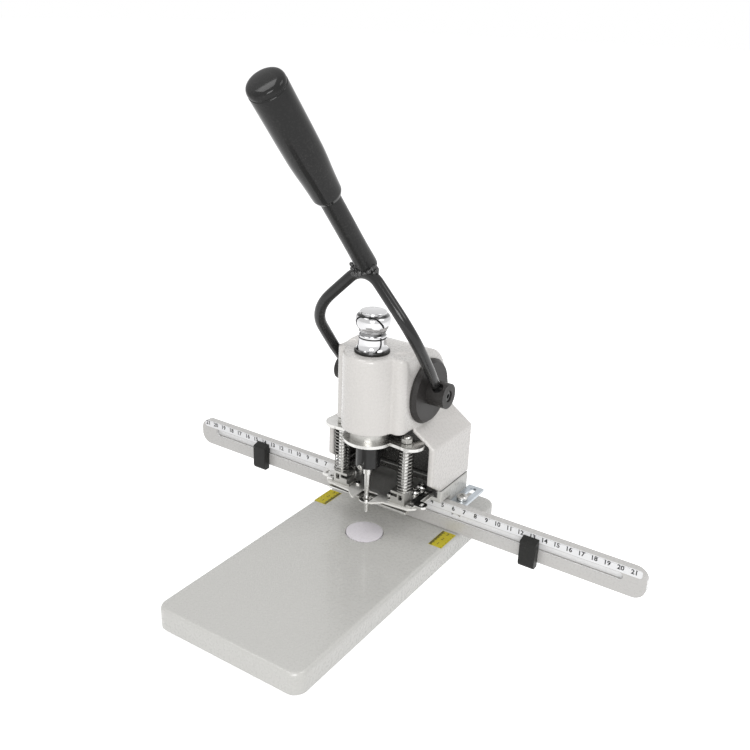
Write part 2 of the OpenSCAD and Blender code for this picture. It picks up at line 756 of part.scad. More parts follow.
module base_plate() {
  foot_x = base_half - foot_inset;
  color(paint) placed() difference() {
    union() {
      soft_plate(-base_half, base_half, -base_front, base_back, foot_h, deck_z,
        base_corner_r, base_bevel);
      box(-body_half, body_half, pedestal_front, body_back, foot_h + base_t / 2, pedestal_z);
      box(-body_half, body_half, shelf_front, pedestal_front, shelf_z, pedestal_z);
      box(-tongue_w / 2, tongue_w / 2, tongue_front, shelf_front, shelf_z, stripper_z);
    }
    box(-stripper_w / 2 - part_gap, stripper_w / 2 + part_gap, tongue_front - part_gap,
      stripper_back + part_gap, stripper_z, pedestal_z + part_gap);
    round_z(0, pad_y, deck_z + pad_proud - pad_t - part_gap, deck_z + base_t, pad_r + part_gap);
    for (x = [-head_bolt_x, head_bolt_x]) {
      round_z(x, head_bolt_y, 0, pedestal_z + part_gap, head_bolt_r + screw_gap);
      round_z(x, head_bolt_y, 0, foot_h + bolt_head_h + part_gap, bolt_head_r + part_gap);
    }
    for (x = [-foot_x, foot_x]) for (y = [-base_front + foot_inset, base_back - foot_inset])
      round_z(x, y, 0, foot_h + foot_stub_h + part_gap, foot_stub_r + screw_gap);
    for (x = [-bracket_mid_x, bracket_mid_x])
      round_z(x, clamp_y, deck_z - post_sink, deck_z + part_gap, post_r + screw_gap);
    for (x = [-plate_screw_x, plate_screw_x]) for (i = [0, 1])
      round_z(x, plate_screw_y + i * plate_screw_step, shelf_z - part_gap, stripper_z + part_gap,
        plate_screw_r + screw_gap);
  }
}

module rubber_feet() {
  foot_x = base_half - foot_inset;
  color(coal) placed() for (x = [-foot_x, foot_x])
  for (y = [-base_front + foot_inset, base_back - foot_inset]) {
    round_z(x, y, 0, foot_h, foot_r);
    round_z(x, y, 0, foot_h + foot_stub_h, foot_stub_r);
  }
}

module cutting_pad() {
  color(white) placed() round_z(0, pad_y, deck_z + pad_proud - pad_t, deck_z + pad_proud, pad_r);
}

module head_shape() {
  union() {
    translate([-nose_r * 2, head_low_z - part_gap])
      square([nose_r * 2 + back_y, head_top_z - head_low_z + part_gap]);
    translate([back_y, head_top_z - back_r]) circle(r = back_r);
    polygon([[back_y, head_low_z - part_gap], [body_back, head_low_z - part_gap],
      [body_back, deck_z + back_slope_low],
      [back_y + back_r * cos(24), head_top_z - back_r + back_r * sin(24)],
      [back_y, head_top_z - back_r / 2]]);
  }
}

module head_block() {
  soft_post(0, 0, head_low_z, head_top_z, nose_r, head_bevel);
  both_sides() soft_post(lobe_x, lobe_y, head_low_z, head_top_z, lobe_r, head_bevel);
  intersection() {
    along_y(lobe_y, body_back)
      polygon([[-head_half, head_low_z], [head_half, head_low_z], [head_half, head_top_z - head_bevel],
        [head_half - head_bevel, head_top_z], [head_bevel - head_half, head_top_z],
        [-head_half, head_top_z - head_bevel]]);
    along_x(-body_half, body_half) head_shape();
  }
}

module body_shell() {
  low = pedestal_z;
  edge = deck_z + shoulder_h;
  inner = body_half - wall_t;
  difference() {
    along_y(wall_front, body_back)
      polygon([[-body_half, low], [body_half, low], [body_half, edge], [head_half, head_low_z],
        [-head_half, head_low_z], [-body_half, edge]]);
    along_y(wall_front - wall_t, throat_back)
      polygon([[-inner, low - wall_t], [inner, low - wall_t], [inner, edge],
        [head_half - wall_t / 4, head_low_z - wall_t * 0.7], [head_half - wall_t / 4, head_low_z],
        [wall_t / 4 - head_half, head_low_z], [wall_t / 4 - head_half, head_low_z - wall_t * 0.7],
        [-inner, edge]]);
    along_x(-body_half - wall_t, body_half + wall_t)
      polygon([[wall_front - wall_t, low - wall_t], [shelf_front, low - wall_t], [shelf_front, low],
        [wall_front, deck_z + wall_low_h], [wall_front - wall_t, deck_z + wall_low_h]]);
  }
}

module seam_cut() {
  difference() {
    box(-body_half - wall_t, body_half + wall_t, shelf_front - wall_t, body_back + wall_t,
      pedestal_z - part_gap, pedestal_z + seam_h);
    box(seam_in - body_half, body_half - seam_in, shelf_front - wall_t, body_back - seam_in,
      pedestal_z - part_gap, pedestal_z + seam_h);
  }
}

module head_casting() {
  color(paint) placed() difference() {
    union() {
      head_block();
      body_shell();
    }
    seam_cut();
    round_z(0, 0, head_low_z - part_gap, quill_room, quill_r + run_gap);
    box(-gear_half - part_gap, gear_half + part_gap, 0, rack_tip_y + part_gap,
      head_low_z - part_gap, quill_room);
    round_z(0, 0, quill_room - part_gap, head_top_z + part_gap, nut_r + screw_gap);
    round_x(-gear_half - part_gap, gear_half + part_gap, pivot_y, pivot_z, tip_r + part_gap);
    both_sides() round_x(gear_half + part_gap / 2, head_half + part_gap, pivot_y, pivot_z,
      bush_r + screw_gap);
    both_sides() round_z(lobe_x, seat_y, head_top_z - seat_t, head_top_z + part_gap, seat_r);
    for (x = [-head_bolt_x, head_bolt_x])
      round_z(x, head_bolt_y, pedestal_z - part_gap, foot_h + head_bolt_h + part_gap,
        head_bolt_r + screw_gap);
  }
}

module head_bolts() {
  color(coal) placed() for (x = [-head_bolt_x, head_bolt_x]) difference() {
    union() {
      round_z(x, head_bolt_y, foot_h, foot_h + bolt_head_h, bolt_head_r);
      round_z(x, head_bolt_y, foot_h, foot_h + head_bolt_h, head_bolt_r);
    }
    translate([x, head_bolt_y, 0]) cylinder(h = foot_h + socket_h, r = socket_r, $fn = 6);
  }
}

module quill() {
  color(steel) placed() difference() {
    round_z(0, 0, quill_z, quill_top_z, quill_r);
    round_z(0, 0, quill_z - part_gap, quill_top_z - lip_h, quill_bore_r);
    round_z(0, 0, quill_z, quill_top_z + part_gap, lip_r);
    box(-gear_half - run_gap, gear_half + run_gap, quill_flat, quill_r * 2, rack_low_z - run_gap,
      quill_top_z + part_gap);
    for (a = [45 : 90 : 315]) rotate([0, 0, a])
      round_z(lift_screw_ring, 0, quill_z - part_gap, quill_z + lift_screw_h + part_gap,
        lift_screw_r + screw_gap);
  }
}

module quill_rack() {
  color(steel) placed() along_x(-gear_half, gear_half) polygon(rack_points());
}

module lift_shape() {
  circle(r = lift_mid_r);
  intersection() {
    for (x = [-lift_ear_x, lift_ear_x]) translate([x, lift_ear_y]) circle(r = lift_ear_r);
    translate([-lift_ear_x * 2, -lift_ear_x]) square([lift_ear_x * 4, lift_back + lift_ear_x]);
  }
  translate([-lift_ear_x, lift_ear_y]) square([lift_ear_x * 2, lift_back - lift_ear_y]);
}

module lift_plate() {
  color(steel) placed() difference() {
    along_z(lift_z, quill_z) lift_shape();
    round_z(0, 0, lift_z - part_gap, quill_z + part_gap, lip_r + part_gap);
    for (x = [-rod_x, rod_x])
      round_z(x, rod_y, lift_z - part_gap, quill_z + part_gap, rod_r + run_gap);
    for (a = [45 : 90 : 315]) rotate([0, 0, a])
      round_z(lift_screw_ring, 0, lift_z - part_gap, quill_z + part_gap, lift_screw_r + screw_gap);
  }
}

module lift_plate_screws() {
  color(bright) placed() for (a = [45 : 90 : 315]) rotate([0, 0, a]) {
    round_z(lift_screw_ring, 0, lift_z - lift_screw_head_h, lift_z, lift_screw_head_r);
    round_z(lift_screw_ring, 0, lift_z - lift_screw_head_h, quill_z + lift_screw_h, lift_screw_r);
  }
}

module guide_rod() {
  soft_post(rod_x, rod_y, guide_top_z + part_gap, quill_z + rod_over, rod_r, wire_r);
}

module guide_rod_right() {
  color(bright) placed() guide_rod();
}

module guide_rod_left() {
  color(bright) placed() mirror([1, 0, 0]) guide_rod();
}

module rod_nuts() {
  color(bright) placed() for (x = [-rod_x, rod_x]) difference() {
    translate([x, rod_y, quill_z + part_gap]) cylinder(h = rod_nut_h, r = rod_nut_r, $fn = 6);
    round_z(x, rod_y, quill_z, quill_z + part_gap * 2 + rod_nut_h, rod_r + screw_gap);
  }
}

// Spring wire: a straight end, the coils, a straight end, as one tube.
function coil_height(s) = bracket_top_z + wire_r * 2 + s * coil_pitch;
function coil_path() = concat(
  [[coil_r, 0, bracket_top_z + run_gap]],
  [for (i = [0 : coil_count * coil_rings]) let (s = i / coil_rings)
    [coil_r * cos(360 * s), coil_r * sin(360 * s), coil_height(s)]],
  [[coil_r, 0, lift_z - run_gap]]);
function coil_ring(p, t) = let (side = unit([p[0], p[1], 0]), q = cross(t, side))
  [for (k = [0 : wire_sides - 1])
    p + wire_r * (side * cos(360 * k / wire_sides) + q * sin(360 * k / wire_sides))];
function coil_tangent(i, n) = let (a = 360 * (i - 1) / coil_rings)
  i == 0 || i == n ? [0, 0, 1]
    : i == 1 || i == n - 1 ? unit(unit([-sin(a), cos(a), 0]) + [0, 0, 1])
    : unit([-sin(a) * 2 * PI * coil_r, cos(a) * 2 * PI * coil_r, coil_pitch]);
module return_spring() {
  path = coil_path();
  n = len(path) - 1;
  points = [for (i = [0 : n]) for (q = coil_ring(path[i], coil_tangent(i, n))) q];
  translate([rod_x, rod_y, 0]) rotate([0, 0, 180])
    polyhedron(points = points, faces = tube_faces(n + 1, wire_sides));
}
echo("least gap between coils", coil_pitch - wire_r * 2);

module return_spring_right() {
  color(steel) placed() return_spring();
}

module return_spring_left() {
  color(steel) placed() mirror([1, 0, 0]) return_spring();
}

module spring_bracket() {
  x0 = rod_x - bracket_shift - bracket_w / 2;
  x1 = rod_x - bracket_shift + bracket_w / 2;
  y0 = rod_y - bracket_d / 2;
  y1 = rod_y + bracket_d / 2;
  foot_z = stripper_top_z + bracket_t;
  difference() {
    union() {
      box(x0, x1, y0, y1, stripper_top_z, bracket_top_z);
      box(x0 - bracket_foot, x0 + bracket_t, y0, y1, stripper_top_z, foot_z);
    }
    box(x0 + bracket_t, x1 - bracket_t, y0 + bracket_t, y1 + bracket_t, foot_z,
      bracket_top_z - bracket_t);
    box(x0 - bracket_t, x0 + bracket_slot_w, y0 - bracket_t, y1 - bracket_t, bracket_slot_z,
      bracket_slot_z + bracket_slot_h);
    box(x1 - bracket_t - bracket_hole_w, x1 - bracket_t, y0 - bracket_t, y0 + bracket_t * 2,
      bracket_hole_z, bracket_hole_z + bracket_hole_h);
    round_z(rod_x, rod_y, stripper_top_z - part_gap, bracket_top_z + part_gap, rod_r + screw_gap);
  }
}

module spring_bracket_right() {
  color(steel) placed() spring_bracket();
}

module spring_bracket_left() {
  color(steel) placed() mirror([1, 0, 0]) spring_bracket();
}

module stripper_shape() {
  half = stripper_w / 2;
  front = stripper_front_w / 2;
  tip = stripper_tip_w / 2;
  flare = stripper_flare_w / 2;
  polygon([[-tip, -stripper_tip], [tip, -stripper_tip], [flare, -stripper_front],
    [front, stripper_slant - stripper_front], [half, stripper_slant + half - front - stripper_front],
    [half, stripper_back], [-half, stripper_back],
    [-half, stripper_slant + half - front - stripper_front],
    [-front, stripper_slant - stripper_front],
    [-flare, -stripper_front]]);
}

module notch_shape() {
  half = notch_w / 2 - notch_corner_r;
  translate([-notch_w / 2, -stripper_tip * 2])
    square([notch_w, stripper_tip * 2 + notch_end - notch_corner_r]);
  translate([-half, -stripper_tip]) square([half * 2, stripper_tip + notch_end]);
  for (x = [-half, half]) translate([x, notch_end - notch_corner_r]) circle(r = notch_corner_r);
}

module stripper_plate() {
  color(steel) placed() difference() {
    along_z(stripper_z, stripper_top_z) stripper_shape();
    along_z(stripper_z - part_gap, stripper_top_z + part_gap) notch_shape();
    for (x = [-rod_x, rod_x])
      round_z(x, rod_y, stripper_z - part_gap, stripper_top_z + part_gap, rod_r + screw_gap);
    for (x = [-guide_screw_x, guide_screw_x])
      round_z(x, guide_screw_y, stripper_z - part_gap, stripper_top_z + part_gap,
        guide_screw_r + screw_gap);
    for (x = [-plate_screw_x, plate_screw_x]) for (i = [0, 1])
      round_z(x, plate_screw_y + i * plate_screw_step, stripper_z - part_gap,
        stripper_top_z + part_gap, plate_screw_r + screw_gap);
  }
}

module bit_guide_plate() {
  color(steel) placed() difference() {
    union() {
      along_z(guide_z, guide_top_z) {
        circle(r = guide_nose_r);
        translate([-guide_w / 2, -guide_gap]) square([guide_w, guide_back + guide_gap]);
      }
      for (x = [-guide_screw_x, guide_screw_x])
        round_z(x, guide_screw_y, guide_z, stripper_z, guide_pad_r);
    }
    round_z(0, 0, guide_z - part_gap, guide_top_z + part_gap, guide_hole_r);
    for (x = [-guide_screw_x, guide_screw_x])
      round_z(x, guide_screw_y, guide_z - part_gap, stripper_z + part_gap, guide_screw_r + screw_gap);
  }
}

module guide_plate_screws() {
  color(bright) placed() for (x = [-guide_screw_x, guide_screw_x]) {
    round_z(x, guide_screw_y, guide_z, stripper_top_z, guide_screw_r);
    soft_post(x, guide_screw_y, stripper_top_z, stripper_top_z + lift_screw_head_h, lift_screw_head_r,
      wire_r);
  }
}

module plate_screws() {
  color(bright) placed() for (x = [-plate_screw_x, plate_screw_x]) for (i = [0, 1])
    let (y = plate_screw_y + i * plate_screw_step) {
      round_z(x, y, shelf_z, stripper_top_z, plate_screw_r);
      soft_post(x, y, stripper_top_z, stripper_top_z + plate_head_h, plate_head_r, wire_r * 2);
    }
}

module arm_shape() {
  tab_x = arm_x + arm_tab_out - arm_tab_w / 2;
  slot = (arm_slot_h - arm_slot_w) / 2;
  difference() {
    union() {
      translate([arm_x - arm_w, arm_front]) square([arm_w, arm_back - arm_front]);
      translate([arm_x - arm_w / 2, arm_tab_y]) square([tab_x - arm_x + arm_w / 2, arm_tab_w]);
      translate([tab_x, arm_tab_y + arm_tab_w / 2]) circle(r = arm_tab_w / 2);
    }
    translate([tab_x - arm_slot_w / 2, arm_tab_y + arm_tab_w / 2 - slot])
      square([arm_slot_w, slot * 2]);
    for (y = [-slot, slot]) translate([tab_x, arm_tab_y + arm_tab_w / 2 + y])
      circle(r = arm_slot_w / 2);
  }
}

module plate_arm() {
  difference() {
    along_z(stripper_top_z, stripper_top_z + arm_t) arm_shape();
    for (i = [0, 1]) round_z(arm_x - arm_w / 2, arm_hole_y + i * arm_hole_step,
      stripper_top_z - part_gap, stripper_top_z + arm_t + part_gap, arm_hole_r);
  }
}

module plate_arm_right() {
  color(steel) placed() plate_arm();
}

module plate_arm_left() {
  color(steel) placed() mirror([1, 0, 0]) plate_arm();
}

module spindle() {
  color(steel) placed() union() {
    round_z(0, 0, shank_top_z, helix_low_z, spindle_r);
    round_z(0, 0, bearing_low_z + bearing_h + part_gap, bearing_top_z - bearing_h - part_gap, collar_r);
    translate([0, 0, helix_low_z])
      linear_extrude(height = spindle_top_z - helix_low_z,
        twist = (spindle_top_z - helix_low_z) * helix_turn, slices = 24)
      polygon(helix_points(0));
  }
}

module spindle_bearings() {
  color(bright) placed() for (z = [bearing_low_z + run_gap, bearing_top_z - bearing_h - run_gap])
  difference() {
    round_z(0, 0, z, z + bearing_h, quill_bore_r - screw_gap);
    round_z(0, 0, z - part_gap, z + bearing_h + part_gap, spindle_r + run_gap);
  }
}

module helix_nut() {
  low = quill_room;
  color(bright) placed() difference() {
    round_z(0, 0, low, head_top_z, nut_r);
    rotate([0, 0, (low - part_gap - helix_low_z) * -helix_turn]) translate([0, 0, low - part_gap])
      linear_extrude(height = head_top_z - low + part_gap * 2,
        twist = (head_top_z - low + part_gap * 2) * helix_turn, slices = 6)
      polygon(helix_points(helix_play));
  }
}

module drill_chuck() {
  color(black) placed() difference() {
    union() {
      round_z(0, 0, chuck_z + chuck_bevel, chuck_top_z, chuck_r);
      translate([0, 0, chuck_z]) cylinder(h = chuck_bevel, r1 = chuck_r - chuck_bevel, r2 = chuck_r);
    }
    round_z(0, 0, chuck_z - part_gap, shank_top_z, shank_r + screw_gap);
    round_z(0, 0, shank_top_z, chuck_top_z + part_gap, spindle_r + screw_gap);
    rotate([0, 0, chuck_screw_turn])
      round_x(shank_r, chuck_r * 2, 0, chuck_z + chuck_screw_up, chuck_screw_r + screw_gap);
  }
}

module chuck_screw() {
  color(bright) placed() rotate([0, 0, chuck_screw_turn]) difference() {
    round_x(shank_r + screw_gap * 3, chuck_r + chuck_screw_out, 0, chuck_z + chuck_screw_up, chuck_screw_r);
    translate([chuck_r + chuck_screw_out - socket_h, 0, chuck_z + chuck_screw_up]) rotate([0, 90, 0])
      cylinder(h = socket_h * 2, r = socket_r / 2, $fn = 6);
  }
}

module hollow_bit() {
  color(bright) placed() difference() {
    union() {
      round_z(0, 0, bit_head_z, shank_top_z - run_gap, shank_r);
      round_z(0, 0, bit_head_z, chuck_z - run_gap, bit_head_r);
      translate([0, 0, bit_body_z]) cylinder(h = bit_body_h, r1 = bit_tube_r, r2 = bit_body_r);
      round_z(0, 0, bit_tip_z, bit_body_z, bit_tube_r);
    }
    round_z(0, 0, bit_tip_z - part_gap, shank_top_z + part_gap, bit_hole_r);
    translate([0, 0, bit_tip_z]) cylinder(h = bit_tube_r, r1 = bit_tube_r - run_gap * 2, r2 = bit_hole_r);
  }
}

module knob_ring() {
  color(black) placed() difference() {
    round_z(0, 0, head_top_z, ring_top_z, ring_r);
    round_z(0, 0, head_top_z - part_gap, ring_top_z + part_gap, stem_r + part_gap);
  }
}

module knob_collar() {
  color(bright) placed() rotate_extrude()
    polygon([[stem_r + run_gap, ring_top_z], [flare_r, ring_top_z], [flare_r, ring_top_z + flare_h * 0.12],
      [flare_r - (flare_r - neck_r) * 0.6, ring_top_z + flare_h * 0.3],
      [neck_r + (flare_r - neck_r) * 0.1, ring_top_z + flare_h * 0.6], [neck_r, collar_top_z],
      [stem_r + run_gap, collar_top_z]]);
}

module adjusting_knob() {
  outer = [for (i = [0 : len(knob_shares) - 1]) [knob_radii[i], knob_z + knob_h * knob_shares[i]]];
  color(bright) placed() rotate_extrude()
    polygon(concat([[knob_hole_r, knob_z - stem_h], [stem_r, knob_z - stem_h], [stem_r, knob_z]],
      outer, [[0, knob_top_z], [0, knob_top_z - knob_top_t], [knob_hole_r, knob_top_z - knob_top_t]]));
}

module pinion_shaft() {
  color(steel) placed() difference() {
    union() {
      translate([0, pivot_y, pivot_z]) along_x(-gear_half, gear_half) polygon(pinion_points());
      round_x(-shaft_half, shaft_half, pivot_y, pivot_z, shaft_r);
    }
    both_sides() round_x(shaft_half - hub_screw_h, shaft_half + part_gap, pivot_y, pivot_z,
      hub_screw_r + screw_gap);
  }
}

module shaft_bush() {
  difference() {
    round_x(bush_in, head_half, pivot_y, pivot_z, bush_r);
    round_x(bush_in - part_gap, head_half + part_gap, pivot_y, pivot_z, shaft_r + run_gap);
  }
}

module shaft_bush_right() {
  color(bright) placed() shaft_bush();
}

module shaft_bush_left() {
  color(bright) placed() mirror([1, 0, 0]) shaft_bush();
}

module side_disc() {
  difference() {
    union() {
      round_x(disc_in_x, disc_in_x + disc_rim_t, pivot_y, pivot_z, disc_r);
      translate([disc_in_x + disc_rim_t, pivot_y, pivot_z]) rotate([0, 90, 0])
        cylinder(h = disc_t - disc_rim_t, r1 = disc_r - run_gap, r2 = disc_r - disc_in);
    }
    round_x(disc_in_x - part_gap, disc_out_x + part_gap, pivot_y, pivot_z, shaft_r + screw_gap);
  }
}

module side_disc_right() {
  color(coal) placed() side_disc();
}

module side_disc_left() {
  color(coal) placed() mirror([1, 0, 0]) side_disc();
}

module leg_hole() {
  translate(leg_foot) rotate([acos(leg_dir[2]), 0, 0]) cylinder(h = hub_r * 2, r = bar_r + screw_gap);
}

module hub() {
  difference() {
    round_x(hub_in_x, hub_out, pivot_y, pivot_z, hub_r);
    round_x(hub_in_x - part_gap, shaft_half, pivot_y, pivot_z, shaft_r + screw_gap);
    round_x(shaft_half - part_gap, hub_out, pivot_y, pivot_z, hub_screw_r + screw_gap);
    round_x(hub_out - hub_socket_h, hub_out + part_gap, pivot_y, pivot_z, hub_socket_r + screw_gap);
    leg_hole();
  }
}

module hub_right() {
  color(coal) placed() hub();
}

module hub_left() {
  color(coal) placed() mirror([1, 0, 0]) hub();
}

module hub_screws() {
  color(coal) placed() both_sides() difference() {
    union() {
      round_x(shaft_half - hub_screw_h + part_gap, hub_out - hub_socket_h + run_gap, pivot_y, pivot_z,
        hub_screw_r);
      round_x(hub_out - hub_socket_h, hub_out - hub_socket_h / 3, pivot_y, pivot_z, hub_socket_r);
    }
    translate([hub_out - hub_socket_h + socket_h / 4, pivot_y, pivot_z]) rotate([0, 90, 0])
      cylinder(h = hub_socket_h, r = socket_r, $fn = 6);
  }
}

function yoke_half() = concat(
  [leg_foot + leg_dir * (shaft_r + bar_r * 0.3)],
  bend(leg_foot, corner_at, apex_at, corner_r, bend_steps),
  [(corner_at * 0.6 + apex_at * 0.4)]);
function flip(p) = [-p[0], p[1], p[2]];
module lever_yoke() {
  half = yoke_half();
  count = len(half);
  path = concat(half, bend(corner_at, apex_at, flip(corner_at), apex_r, bend_steps * 2),
    [for (i = [count - 1 : -1 : 0]) flip(half[i])]);
  color(black) placed() polyhedron(points = ring_points(path, bar_r, bar_sides, [0, 1, 0.3]),
    faces = tube_faces(len(path), bar_sides));
}

module on_rod() {
  translate([0, apex_mid_y, apex_z]) rotate([90 - rod_slope, 0, 0])
    translate([0, rod_back, 0]) children();
}

module lever_rod() {
  color(black) placed() difference() {
    on_rod() translate([0, 0, bar_r * 0.1])
      cylinder(h = grip_start + grip_h * 0.6 - bar_r * 0.1, r = rod_bar_r);
    round_x(-rod_bar_r * 2, rod_bar_r * 2, apex_mid_y, apex_z, bar_r + run_gap);
  }
}

module lever_grip() {
  top = grip_start + grip_h;
  outer = [for (i = [0 : len(grip_shares) - 1]) [grip_radii[i], grip_start + grip_h * grip_shares[i]]];
  color(black) placed() on_rod() difference() {
    rotate_extrude()
      polygon(concat([[0, grip_start]], outer,
        [[grip_top_r * 0.96, top + dome_h * 0.45], [grip_top_r * 0.82, top + dome_h * 0.78],
        [grip_top_r * 0.5, top + dome_h * 0.95], [0, top + dome_h]]));
    translate([0, 0, grip_start - part_gap])
      cylinder(h = grip_h * 0.6 + part_gap * 2, r = rod_bar_r + screw_gap);
  }
}

module fence_outline(x0, x1, z0, z1, r) {
  translate([x0 + r, z0]) square([x1 - x0 - r * 2, z1 - z0]);
  translate([x0, z0 + r]) square([x1 - x0, z1 - z0 - r * 2]);
  for (x = [x0 + r, x1 - r]) for (z = [z0 + r, z1 - r]) translate([x, z]) circle(r = r);
}

module groove_outline(in, h) {
  translate([in - fence_w / 2, groove_z - h / 2]) square([fence_w - in * 2, h]);
  for (x = [in - fence_w / 2, fence_w / 2 - in]) translate([x, groove_z]) circle(r = h / 2);
}

module fence_bar() {
  color(paint) placed() difference() {
    along_y(fence_y, fence_back_y)
      fence_outline(-fence_w / 2, fence_w / 2, fence_z, fence_top_z, fence_corner_r);
    along_y(fence_y - part_gap, fence_y + groove_t) groove_outline(groove_in + groove_h / 2, groove_h);
    along_y(fence_y + groove_t - run_gap, fence_y + groove_t + groove_back_t)
      groove_outline(groove_in + groove_h / 2, groove_h + groove_under * 2);
    both_sides() gauge_screw_at() translate([0, 0, -gauge_screw_h])
      cylinder(h = gauge_screw_h * 2, r = gauge_screw_r + screw_gap);
  }
}

module scale_strip() {
  low = deck_z + strip_low_h;
  color(white) placed() along_y(strip_front_y, fence_y)
    fence_outline(-strip_w / 2, strip_w / 2, low, low + strip_h, strip_h / 3);
}

module gauge_screw_at() {
  for (x = [-1, 1])
    translate([bracket_mid_x + x * fence_bracket_w * 0.22, fence_back_y, fence_bracket_z - flange_h * 0.72])
    rotate([-90, 0, 0]) children();
}

module fence_bracket() {
  x1 = fence_bracket_x + fence_bracket_w;
  slot_r = clamp_r + part_gap;
  difference() {
    union() {
      box(fence_bracket_x, x1, fence_back_y, fence_bracket_back, fence_bracket_z - fence_bracket_t,
        fence_bracket_z);
      box(fence_bracket_x, x1, fence_back_y, fence_back_y + fence_bracket_t, fence_bracket_z - flange_h,
        fence_bracket_z);
    }
    box(bracket_mid_x - slot_r, bracket_mid_x + slot_r, clamp_y, clamp_y + fence_travel,
      fence_bracket_z - fence_bracket_t * 2, fence_bracket_z + part_gap);
    for (y = [clamp_y, clamp_y + fence_travel])
      round_z(bracket_mid_x, y, fence_bracket_z - fence_bracket_t * 2, fence_bracket_z + part_gap, slot_r);
    gauge_screw_at() translate([0, 0, -part_gap])
      cylinder(h = fence_bracket_t * 2, r = gauge_screw_r + screw_gap);
  }
}

module fence_bracket_right() {
  color(steel) placed() fence_bracket();
}

module fence_bracket_left() {
  color(steel) placed() mirror([1, 0, 0]) fence_bracket();
}

module gauge_screws() {
  color(bright) placed() both_sides() gauge_screw_at() {
    translate([0, 0, screw_gap - gauge_screw_h * 0.4])
      cylinder(h = gauge_screw_h * 0.4 + fence_bracket_t, r = gauge_screw_r);
    translate([0, 0, fence_bracket_t]) cylinder(h = gauge_head_h, r = gauge_head_r);
  }
}

module clamp_posts() {
  color(bright) placed() both_sides() difference() {
    round_z(bracket_mid_x, clamp_y, deck_z - post_sink, fence_bracket_z - fence_bracket_t - part_gap,
      post_r);
    round_z(bracket_mid_x, clamp_y, deck_z, fence_bracket_z, clamp_r + screw_gap);
  }
}

module clamp_screws() {
  low = deck_z + part_gap;
  top = fence_bracket_z + part_gap;
  color(bright) placed() both_sides() difference() {
    union() {
      round_z(bracket_mid_x, clamp_y, low, top, clamp_r);
      soft_post(bracket_mid_x, clamp_y, top, top + clamp_head_h, clamp_head_r, wire_r);
    }
    translate([bracket_mid_x, clamp_y, top + clamp_head_h - socket_h])
      cylinder(h = socket_h * 2, r = socket_r, $fn = 6);
  }
}

module side_stop(x0) {
  low = deck_z + stop_low_h;
  mid = x0 + stop_w / 2;
  neck_half = groove_h / 2 - part_gap;
  difference() {
    along_x(x0, x0 + stop_w)
      polygon([[stop_front + stop_bevel / 2, low], [stop_back_y, low], [stop_back_y, deck_z + stop_top_h],
        [stop_front, deck_z + stop_front_h], [stop_front, low + stop_bevel]]);
    for (x = [x0 - stop_bevel, x0 + stop_w]) translate([x, 0, low - stop_bevel])
      rotate([0, 45, 0]) cube([stop_bevel, stop_front * 2, stop_bevel]);
  }
  box(mid - key_w / 2, mid + key_w / 2, stop_back_y - run_gap, fence_y + key_neck, groove_z - neck_half,
    groove_z + neck_half);
  box(mid - key_w / 2, mid + key_w / 2, fence_y + key_neck, fence_y + key_neck + key_t,
    groove_z - neck_half - groove_under + part_gap, groove_z + neck_half + groove_under - part_gap);
}

module side_stop_right() {
  color(black) placed() side_stop(stop_right);
}

module side_stop_left() {
  color(black) placed() mirror([1, 0, 0]) side_stop(stop_left);
}

module depth_scale() {
  box(scale_in, scale_in + scale_w, scale_front, scale_front + scale_len, deck_z, deck_z + scale_t);
}

module depth_scale_right() {
  color(yellow) placed() depth_scale();
}

module depth_scale_left() {
  color(yellow) placed() mirror([1, 0, 0]) depth_scale();
}

base_plate();
rubber_feet();
cutting_pad();
head_casting();
head_bolts();
quill();
quill_rack();
lift_plate();
lift_plate_screws();
guide_rod_left();
guide_rod_right();
rod_nuts();
return_spring_left();
return_spring_right();
spring_bracket_left();
spring_bracket_right();
stripper_plate();
bit_guide_plate();
guide_plate_screws();
plate_screws();
plate_arm_left();
plate_arm_right();
spindle();
spindle_bearings();
helix_nut();
drill_chuck();
chuck_screw();
hollow_bit();
knob_ring();
knob_collar();
adjusting_knob();
pinion_shaft();
shaft_bush_left();
shaft_bush_right();
side_disc_left();
side_disc_right();
hub_left();
hub_right();
hub_screws();
lever_yoke();
lever_rod();
lever_grip();
fence_bar();
scale_strip();
fence_bracket_left();
fence_bracket_right();
gauge_screws();
clamp_posts();
clamp_screws();
side_stop_left();
side_stop_right();
depth_scale_left();
depth_scale_right();
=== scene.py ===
import math
import json
import random
import bpy
from mathutils import Matrix, Vector


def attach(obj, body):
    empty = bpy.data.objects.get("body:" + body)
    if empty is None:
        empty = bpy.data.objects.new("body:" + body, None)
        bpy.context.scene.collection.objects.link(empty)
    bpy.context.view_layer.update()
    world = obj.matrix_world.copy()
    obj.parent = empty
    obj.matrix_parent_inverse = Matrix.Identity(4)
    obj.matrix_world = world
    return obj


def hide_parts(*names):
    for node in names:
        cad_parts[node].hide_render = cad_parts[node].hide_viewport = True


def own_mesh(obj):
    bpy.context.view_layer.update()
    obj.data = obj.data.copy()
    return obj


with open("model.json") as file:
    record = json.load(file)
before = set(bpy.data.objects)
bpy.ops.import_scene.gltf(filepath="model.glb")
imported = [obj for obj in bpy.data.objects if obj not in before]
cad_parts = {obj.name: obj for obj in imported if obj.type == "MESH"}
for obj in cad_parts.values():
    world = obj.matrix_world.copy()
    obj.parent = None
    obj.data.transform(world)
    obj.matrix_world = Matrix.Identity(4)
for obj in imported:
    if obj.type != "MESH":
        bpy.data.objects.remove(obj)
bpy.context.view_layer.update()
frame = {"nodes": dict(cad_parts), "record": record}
nodes = frame["nodes"]
print("frame loaded with", len(nodes), "nodes")

# ---- camera, floor and light ----

cameraSettings = {
    "place": (0.34752, -0.50529, 0.41742),
    "back": (0.50101, -0.78010, 0.37477),   # from the subject to the camera
    "roll": 2.2,                            # degrees
    "lens": 43.55,
}


